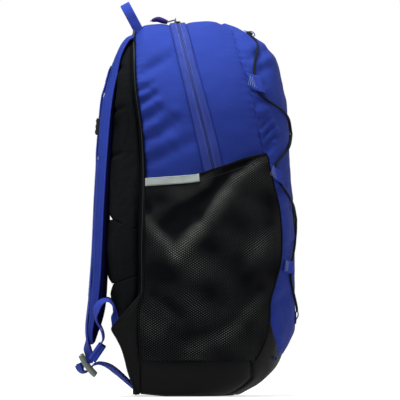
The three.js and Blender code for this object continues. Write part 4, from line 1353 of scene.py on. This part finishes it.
def webbing_frame(path, turn):
    """Across directions of webbing on a line in side view, turned by degrees from edge-on to face-on."""
    along = tangents(path)
    flat = np.tile([1.0, 0, 0], (len(path), 1))
    upright = unit(np.cross(flat, along))
    turn = np.radians(turn)[:, None]
    return flat * np.cos(turn) + upright * np.sin(turn)


def build_adjuster(name, side):
    line = smooth_path(ADJUSTER_PATH, 130)
    splay = LOCK_X + 21 * np.clip((130 - line[:, 0]) / 56, 0, 1)
    path = np.column_stack([side * splay, line])
    t = np.linspace(0, 1, len(path))
    turn = -side * (22 * (1 - smooth_step(t, 0.05, 0.17)) + 15 * smooth_step(t, 0.3, 0.6))
    half = 9.5 - 4 * smooth_step(t, 0.55, 1)
    piece = ribbon(f"adjuster_{name}", path, webbing_frame(path, turn), half, 1.5, BLUE_TAPE, 0.3)
    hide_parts(f"adjuster_webbing_{name}")
    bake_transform(piece)


def build_waist_strap(name, side):
    line = smooth_path(WAIST_PATH, 160)
    t = np.linspace(0, 1, len(line))
    x = side * (126.5 + 1.5 * np.sin(np.pi * t))
    path = np.column_stack([x, line])
    turn = side * smooth_curve([
        [0, -72], [0.1, -58], [0.18, -14], [0.27, -10], [0.36, -26], [0.47, -34], [0.56, -8], [1, 0]])(t)
    half = smooth_curve([[0, 8.5], [0.16, 7.5], [0.3, 7.5], [0.78, 7.5], [0.88, 4], [1, 3.5]])(t)
    across = webbing_frame(path, turn)
    strap = ribbon(f"waist_webbing_{name}", path, across, half, 1.5, BLUE_TAPE, 0.6)
    place(strap, "pack", "blue_webbing", [f"waist_strap_{name}"])
    build_waist_hem(name, side, path[-1])
    tip = box_stitch(f"waist_bartack_{name}", path[7], across[7], tangents(path)[7], 6, 3.5)
    place(tip, "pack", "blue_webbing")


HEM_HALF = 11.5  # half of the hem's length


def build_waist_hem(name, side, end):
    """The webbing's end, rolled and sewn down."""
    axis = unit(np.array([0, 0.56, -0.83]))
    across = unit(np.cross(axis, [side, 0, 0]))
    angle = np.linspace(0, 2 * np.pi, 28, endpoint=False)
    sweep = np.linspace(-HEM_HALF, HEM_HALF, 24)[:, None]
    middle = end + np.array([0, -6.5, 6]) + sweep * axis
    section = np.cos(angle)[:, None] * across * 5.6 + np.sin(angle)[:, None] * np.array([side, 0, 0]) * 2.8
    end_fall = np.sqrt(1 - 0.25 * (np.abs(sweep) / HEM_HALF) ** 8)
    roll = ring_solid(f"waist_hem_{name}", middle[:, None] + section[None] * end_fall[..., None], BLUE_TAPE)
    place(roll, "pack", "blue_webbing")
    out = np.tile([float(side), 0, 0], (len(sweep), 1))
    for label, offset in (("a", -2.4), ("b", 2.4)):
        line = middle + across * offset + [side * 2.6, 0, 0]
        thread = stitches(f"waist_hem_stitch_{label}_{name}", line, out, BLUE_THREAD, 2.6, 0, 0.35)
        place(thread, "pack", "blue_webbing")


# ---- Moulded parts ----
def block(centre, halves, axes, round_mm=0.8):
    """A block with rounded edges; axes are its own directions."""
    mesh = bpy.data.meshes.new("block")
    made = bpy.data.objects.new("block", mesh)
    bpy.context.scene.collection.objects.link(made)
    corners = [(x, y, z) for x in (-1, 1) for y in (-1, 1) for z in (-1, 1)]
    directions = np.array(axes, float)
    points = [np.asarray(centre) + (np.array(c) * halves) @ directions for c in corners]
    faces = [(0, 1, 3, 2), (4, 6, 7, 5), (0, 4, 5, 1), (2, 3, 7, 6), (0, 2, 6, 4), (1, 5, 7, 3)]
    if np.linalg.det(directions) < 0:
        faces = [face[::-1] for face in faces]
    mesh.from_pydata((np.array(points) * MM).tolist(), [], faces)
    bevel = made.modifiers.new("round", "BEVEL")
    bevel.width = round_mm * MM
    bevel.segments = 3
    return applied(made)


def moulded(name, parts, voxel_mm, material, softness=2):
    """Blocks and rods fused into one moulding with softened edges."""
    piece = remeshed(joined(name, parts), voxel_mm)
    smooth = piece.modifiers.new("soften", "SMOOTH")
    smooth.iterations = softness
    smooth.factor = 0.5
    applied(piece)
    piece.data.materials.clear()
    piece.data.materials.append(material)
    for old in list(piece.data.uv_layers):
        piece.data.uv_layers.remove(old)
    lay_cloth(piece.data, (coordinates(piece.data) / MM)[:, 1:3])
    return piece


def rod(start, end, radius, sides=16):
    return tube("rod", np.linspace(start, end, 6), radius, BLACK_PLASTIC, sides)


def build_ladder_lock(name, side):
    """Two bowed rails joined by two round bars and a ridged lower grip."""
    middle = side * LOCK_X
    parts = []
    along = np.linspace(-LOCK_HALF, LOCK_HALF, 30)
    for rail in (-LOCK_RAIL_X, LOCK_RAIL_X):
        line = lock_point(along, 1.6 * (along / LOCK_HALF) ** 2 - 0.8, middle + rail)
        girth = 2.1 + 0.9 * np.sqrt(np.maximum(1 - (along / 17.4) ** 4, 0))
        parts.append(tube("rail", line, girth, GREY_PLASTIC, 12))
    for spot, radius, off in ((14.2, 2.5, 0.4), (1.5, 2.0, -0.2), (-9.6, 2.0, 0)):
        ends = [lock_point(spot, off, middle + x) for x in (-LOCK_RAIL_X, LOCK_RAIL_X)]
        parts.append(rod(*ends, radius))
    lean = np.array([0, math.sin(LOCK_LEAN), math.cos(LOCK_LEAN)])
    off = np.array([0, -math.cos(LOCK_LEAN), math.sin(LOCK_LEAN)])
    parts.append(block(lock_point(-13, 0.6, middle), (13.5, 3.8, 1.7), ([1, 0, 0], lean, off), 1.2))
    for spot in (-15.4, -13.2, -11.0):
        parts.append(rod(*[lock_point(spot, -1.2, middle + x) for x in (-10, 10)], 0.9))
    lock = moulded(f"lock_{name}", parts, 0.6, GREY_PLASTIC)
    place(lock, f"ladder_lock_{name}", "grey_plastic", [f"ladder_lock_{name}"])


def strap_face_y(z):
    """Where the strap's outer face is, at a height."""
    path = np.array(STRAP_PATH)[::-1]
    return float(np.interp(z, path[:, 2], path[:, 1]))


def build_sternum_side(name, side):
    slope = math.atan2(strap_face_y(STERNUM_Z - 25) - strap_face_y(STERNUM_Z + 25), 50)
    along = np.array([0, -math.sin(slope), math.cos(slope)])
    out = np.array([0, math.cos(slope), math.sin(slope)])
    axes = ([1, 0, 0], out, along)
    centre = np.array([side * STERNUM_X, strap_face_y(STERNUM_Z) + 3.4, STERNUM_Z])
    parts = [block(centre + out * k * 2.5, (13.3, 0.8, 10.8), axes) for k in (-1, 1)]
    parts += [block(centre + np.array([k * 12.2, 0, 0]), (1.2, 3.1, 10.8), axes) for k in (-1, 1)]
    parts += [block(centre + out * 3.3 + along * k * 7, (12, 0.7, 1.6), axes, 0.5) for k in (-1, 0, 1)]
    inner = -side * 14.4
    parts += [rod(centre + [inner, 0, 0] - along * 10.2, centre + [inner, 0, 0] + along * 10.2, 1.6)]
    ends = [centre + along * k * 10 + [inner * 0.96, 0, 0] for k in (-1, 1)]
    parts += [block(end, (2.4, 1.6, 1.1), axes, 0.5) for end in ends]
    slider = moulded(f"sternum_slide_{name}", parts, 0.6, BLACK_PLASTIC)
    place(slider, f"sternum_{name}", "black_plastic", [f"sternum_slider_{name}"])
    build_sternum_webbing(name, side, centre, inner)


def build_sternum_webbing(name, side, centre, inner):
    """From the slider's loop to the buckle, with its end turned back and sewn."""
    x = centre[0] + inner
    end = 19.2 if side < 0 else 13.5
    y = centre[1]
    route = [
        [x - side * 7, y - 3.0, 0], [x, y - 2.8, 0], [x + side * 2.4, y - 0.2, 0], [x, y + 2.4, 0],
        [x - side * 7, y + 1.0, 0], [side * 38, 123.6, 0], [side * 30, 122.8, 0],
        [side * (end + 5), 121, 0], [side * end, 119.6, 0]]
    path = smooth_path(np.array(route) + [0, 0, STERNUM_Z], 110)
    piece = ribbon(f"sternum_tape_{name}", path, np.array([0, 0, 1.0]), 8.8, 1.4, BLUE_TAPE)
    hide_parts(f"sternum_webbing_{name}")
    if side < 0:
        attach(piece, "sternum_left")
    else:
        start, end = (0.044, 0.126, 0.350), (0.024, 0.121, 0.350)
        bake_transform(piece)
    at = [x - side * 9.5, y + 1.0, STERNUM_Z]
    sewn = box_stitch(f"sternum_box_{name}", at, [0, 0, 1], [1, 0, 0], 6.5, 2.6, 1.0)
    place(sewn, f"sternum_{name}", "blue_webbing")


BUCKLE_Y = 119.5


def build_buckle():
    upright = np.eye(3)
    parts = []
    for level in (-3.5, 3.5):
        parts.append(block([-9, BUCKLE_Y + level, STERNUM_Z], (9.2, 1.0, 11.6), upright, 1.0))
    for edge in (-11.6, 11.6):
        parts.append(block([-16, BUCKLE_Y, STERNUM_Z + edge], (3.4, 4.4, 1.3), upright, 1.0))
        parts.append(block([-1.6, BUCKLE_Y, STERNUM_Z + edge], (2.0, 4.4, 1.3), upright, 1.0))
    parts.append(rod([-17.4, BUCKLE_Y, STERNUM_Z - 11], [-17.4, BUCKLE_Y, STERNUM_Z + 11], 1.7))
    female = moulded("buckle_socket", parts, 0.6, BLACK_PLASTIC)
    place(female, "sternum_left", "black_plastic", ["buckle_female"])
    parts = []
    for edge in (-1, 1):
        root = [6, BUCKLE_Y, STERNUM_Z + edge * 8.2]
        tip = [-10, BUCKLE_Y, STERNUM_Z + edge * 7.2]
        parts.append(tube("prong", smooth_path([root, [-2, BUCKLE_Y, STERNUM_Z + edge * 6.6], tip], 14), 1.7,
                          BLACK_PLASTIC, 10))
        parts.append(block([-8.4, BUCKLE_Y, STERNUM_Z + edge * 7.6], (2.6, 1.9, 1.4), upright, 0.8))
        parts.append(block([10.2, BUCKLE_Y, STERNUM_Z + edge * 10.7], (6.6, 2.1, 1.3), upright, 0.8))
    parts.append(block([5.4, BUCKLE_Y, STERNUM_Z], (1.9, 2.1, 11.9), upright, 0.8))
    parts.append(block([-1, BUCKLE_Y, STERNUM_Z], (6, 1.4, 1.4), upright, 0.7))
    parts.append(rod([15.2, BUCKLE_Y, STERNUM_Z - 11], [15.2, BUCKLE_Y, STERNUM_Z + 11], 1.6))
    male = moulded("buckle_plug", parts, 0.6, BLACK_PLASTIC)
    place(male, "buckle_male", "black_plastic", ["buckle_male"])


# ---- Grab loop and zip pulls ----
LOOP_FOOT = np.array([73, 477])
LOOP_LEAN = math.radians(28)


def build_grab_loop():
    half, corner, height = 32.9, 16, 36
    arc = [[half - corner + corner * math.cos(a), height - corner + corner * math.sin(a)]
           for a in np.linspace(0, np.pi / 2, 7)]
    right = [[half - 0.5, -3.5], [half, 6], [half, 13], *arc]
    outline = smooth_path(right + [[-x, z] for x, z in right[::-1]], 150)
    crown = 1.0 * np.exp(-((outline[:, 0] / 20) ** 2))
    rise = outline[:, 1] - crown * (outline[:, 1] > 20)
    path = np.column_stack([
        outline[:, 0], LOOP_FOOT[0] + rise * math.sin(LOOP_LEAN), LOOP_FOOT[1] + rise * math.cos(LOOP_LEAN)])
    across = np.array([0, math.cos(LOOP_LEAN), -math.sin(LOOP_LEAN)])
    loop = ribbon("haul_loop", path, across, 6.4, 2.3, BLUE_TAPE, 0.3)
    place(loop, "grab_loop", "blue_webbing", ["grab_loop"])
    for label, edge in (("a", -4.9), ("b", 4.9)):
        line = path[12:-12] + across * edge
        outward = unit(np.cross(tangents(path), across))[12:-12]
        if outward[len(outward) // 2, 2] < 0:
            outward = -outward
        thread = stitches(f"haul_stitch_{label}", line + outward * 1.25, outward, BLUE_THREAD)
        place(thread, "grab_loop", "blue_webbing")


ZIP_PULL_AT = (9, 23.814, 488.96)  # x, y, z of a pull's pivot
ZIP_SLIDER_AT = (21.81, 482.0)  # y, z of a slider's foot


def build_zip_slider(name, side):
    """Two plates on a post, under a wire bridge that holds the pull."""
    x = side * ZIP_PULL_AT[0]
    y, z = ZIP_SLIDER_AT
    upright = np.eye(3)
    parts = [block([x, y, z + rise], (6.6, 4.2, 0.9), upright, 0.7) for rise in (1.0, 4.2)]
    parts.append(block([x + side * 4.0, y, z + 2.6], (1.6, 1.2, 1.9), upright, 0.4))
    outline = ((-4.6, 4.6), (-3.4, 8.5), (3.4, 8.5), (4.6, 4.6))
    bridge = [[x + across, ZIP_PULL_AT[1], z + rise] for across, rise in outline]
    parts.append(tube("bridge", smooth_path(bridge, 24), 0.6, BLACK_PLASTIC, 10))
    slider = moulded(f"slider_{name}", parts, 0.5, BLACK_PLASTIC, 1)
    place(slider, f"zip_slider_{name}", "black_plastic", [f"zip_slider_{name}"])


def build_zip_pull(name, side):
    """A loop of cord through the bridge, inside a moulded grip."""
    base = np.array([side * ZIP_PULL_AT[0], *ZIP_PULL_AT[1:]])
    half = [[-0.9, 33, -1.6], [-1.3, 25, -0.2], [-1.5, 13, -3.0], [-1.2, 5, -1.2], [-0.6, 0.2, 0]]
    strands = half + [[-across, back, rise] for across, back, rise in half[::-1]]
    cord = tube(f"pull_cord_{name}", smooth_path(base + strands, 90), 0.75, PULL_CORD, 10)
    place(cord, f"zip_pull_{name}", "pull_cord", [f"zip_pull_{name}"])
    grip = smooth_path(base + [[0, 10.5, -3.2], [0, 17, -1.2], [0, 23, 0.6], [0, 31, -1.0]], 14)
    girth = 1.6 + 2.0 * np.sin(np.linspace(0.3, np.pi, 14)) ** 0.8
    place(tube(f"pull_grip_{name}", grip, girth, PULL_CORD, 16), f"zip_pull_{name}", "pull_cord")


# ---- Lacing ----
LACE_ROUTE = [  # height, share of the way from the centre line to the seam
    (469, 0), (470.5, 0.2), (470, 0.4), (465, 0.47), (458, 0.52), (444, 0.72), (430, 0.834), (413, 0.9),
    (402, 0.92), (392, 0.9), (379.6, 0.697), (370, 0.424), (357, 0.14), (340, 0), (323, -0.3), (307, -0.74),
    (298, -0.88), (287, -0.9), (276, -0.84), (258, -0.5), (246, -0.2), (230, 0), (204, 0.24), (184, 0.48),
    (172, 0.6), (160, 0.6), (146, 0.5), (124, 0.26), (108, 0)]
CROSSINGS = (340, 230)
CORD_RADIUS = 1.55
CORD_DENT = 1.8  # how far the cord presses the cloth in where it crosses itself
LACE_TABS = [  # low and high edge, share at its two ends, how much higher the outer end is, body
    ("high", 391, 412, 0.83, 1.0, 7, "front_flap"), ("mid", 273, 291, 0.82, 1.02, 11, "pack"),
    ("low", 158, 174, 0.57, 0.9, 4, "pack")]


def on_front(z, share, lift):
    """A place over the front panel; share is 0 at the centre line and 1 at the seam."""
    z, share, lift = np.broadcast_arrays(np.asarray(z, float), share, lift)
    h = arch_length(z)
    point = front_point(h, share)
    step = front_point(h + 1.5, share) - front_point(h - 1.5, share)
    turn = front_point(h, share + 0.01) - front_point(h, share - 0.01)
    normal = unit(np.cross(step, turn))
    normal = normal * np.where((normal * (point - HEART)).sum(-1, keepdims=True) < 0, -1, 1)
    return point + normal * lift[..., None], normal


def build_lacing():
    """One elastic cord, down the front and back up its other side; both ends stop at the top tab."""
    route = smooth_path(np.array([[z, share * 80] for z, share in LACE_ROUTE]), 260)
    z, share = route[:, 0], route[:, 1] / 80
    near = sum(np.maximum(0, 1 - np.abs(z - c) / 26) for c in CROSSINGS)
    pressed = CORD_RADIUS + 0.5 - sum(CORD_DENT * np.exp(-(((z - c) / 14) ** 2)) for c in CROSSINGS)
    lifts = (pressed, pressed + (2 * CORD_RADIUS + 0.2) * near**1.2)
    first, _ = on_front(z, share, lifts[0])
    second, _ = on_front(z, -share, lifts[1])
    path = smooth_path(np.concatenate([first[:-2:2], second[-3::-2]])[:-1], 560)
    cord = tube("lace_cord", path, CORD_RADIUS, CORD, 12)
    place(cord, "fold", "elastic_cord", ["lace_cord_upper", "lace_cord_lower"])
    for label, low, high, inner, outer, tilt, body in LACE_TABS:
        for name, side in SIDES:
            build_tab(f"{label}_{name}", low, high, side * inner, side * outer, tilt, body)
    build_centre_tab("top", 473.2, 467, "front_flap")
    build_centre_tab("bottom", 94, 112, "pack")


def build_tab(label, low, high, inner, outer, tilt, body):
    """Webbing folded round the cord and sewn down at its outer end, which is tilt higher."""
    across = np.linspace(low, high, 12)
    fold = inner - 0.02 * np.sign(inner)
    route = [(outer, 0.6), (lerp(outer, inner, 0.5), 0.9), (lerp(outer, inner, 0.85), 1.0), (fold, 2.6),
             (lerp(outer, inner, 0.85), 5.4), (lerp(outer, inner, 0.55), 3.4), (lerp(outer, inner, 0.2), 2.4),
             (outer, 2.0)]
    fine = smooth_path([[s * 90, lift] for s, lift in route], 70)
    z, share = np.broadcast_arrays(across[None, :], fine[:, :1] / 90)
    points, _ = on_front(z + tilt * (share - inner) / (outer - inner), share, fine[:, 1:] * np.ones_like(z))
    place_tab(label, points, body)
    middle = (low + high) / 2
    spot, normal = on_front(middle + 0.66 * tilt, lerp(outer, inner, 0.34), 3.4)
    edge, _ = on_front(middle + 0.3 * tilt, lerp(outer, inner, 0.7), 3.6)
    along = unit(edge - spot)
    sewn = zigzag_stitch(f"lace_tab_stitch_{label}", spot, np.cross(normal, along), along, normal)
    place(sewn, body, "blue_webbing")


def zigzag_stitch(name, centre, across, along, out):
    """Rows of thread going back and forth, which hold a tab down."""
    rows = [centre + across * (7.4 if k % 2 else -7.4) + along * (k - 5) * 1.6 for k in range(11)]
    line = np.concatenate([resample(np.array(rows[k:k + 2]), 14)[:-1] for k in range(10)])
    return stitches(name, line, np.tile(out, (len(line), 1)), PALE_THREAD, 2.4, 0.1, 0.42)


def place_tab(label, points, body):
    normals = unit(np.cross(np.gradient(points, axis=0), np.gradient(points, axis=1)))
    tab = sheet_solid(f"lace_tab_{label}", points, 0.9, BLUE_TAPE, normals=normals)
    place(tab, body, "blue_webbing", [f"lace_tab_{label}"])


def build_centre_tab(label, sewn, fold, body):
    """A tab on the centre line, sewn down at one height and folded round the cord at another."""
    across = np.linspace(-0.12, 0.12, 14)
    route = [(0, 0.4), (0.55, 0.4), (0.8, 0.4), (1, 2.0), (0.8, 4.0), (0.55, 4.1), (0.3, 1.9), (0, 1.6)]
    route = [(lerp(sewn, fold, along), lift) for along, lift in route]
    fine = smooth_path(route, 60)
    z, share = np.broadcast_arrays(fine[:, :1], across[None, :])
    points, _ = on_front(z, share, fine[:, 1:] * np.ones_like(z))
    place_tab(label, points, body)


# ---- Studio ----
def build_studio():
    mesh = bpy.data.meshes.new("floor")
    mesh.from_pydata([(-6, -6, 0), (6, -6, 0), (6, 6, 0), (-6, 6, 0)], [], [(0, 1, 2, 3)])
    floor = bpy.data.objects.new("floor", mesh)
    bpy.context.scene.collection.objects.link(floor)
    pale = bpy.data.materials.new("pale floor")
    pale.use_nodes = True
    settings = {"Base Color": (0.36, 0.36, 0.36, 1), "Roughness": 0.9,
                "Emission Color": (1, 1, 1, 1), "Emission Strength": 0.68}
    for socket, value in settings.items():
        pale.node_tree.nodes["Principled BSDF"].inputs[socket].default_value = value
    mesh.materials.append(pale)
    world = bpy.data.worlds.new("studio")
    world.use_nodes = True
    world.node_tree.nodes["Background"].inputs["Color"].default_value = (1, 1, 1, 1)
    world.node_tree.nodes["Background"].inputs["Strength"].default_value = 1.0
    bpy.context.scene.world = world
    bpy.context.scene.view_settings.view_transform = "Standard"
    add_light("overhead", (-0.36, 0.2, 1.5), 0.8, 50, (0.9, 1.05, 1.0))


def add_light(name, at, size, power, colour):
    data = bpy.data.lights.new(name, "AREA")
    data.shape = "DISK"
    data.size = size
    data.energy = power
    data.color = colour
    light = bpy.data.objects.new(name, data)
    light.location = at
    light.rotation_euler = (Vector((0, 0, 0.3)) - Vector(at)).to_track_quat("-Z", "Y").to_euler()
    bpy.context.scene.collection.objects.link(light)


# ---- The pack ----
build_crown()
build_gusset()
build_front()
build_zip()
build_base()
build_pockets()
build_back()
for name, side in SIDES:
    build_strap(name, side)
    build_strap_tape(name, side)
    build_adjuster(name, side)
    build_waist_strap(name, side)
    build_ladder_lock(name, side)
    build_sternum_side(name, side)
    build_zip_slider(name, side)
    build_zip_pull(name, side)
build_buckle()
build_grab_loop()
build_lacing()
build_studio()
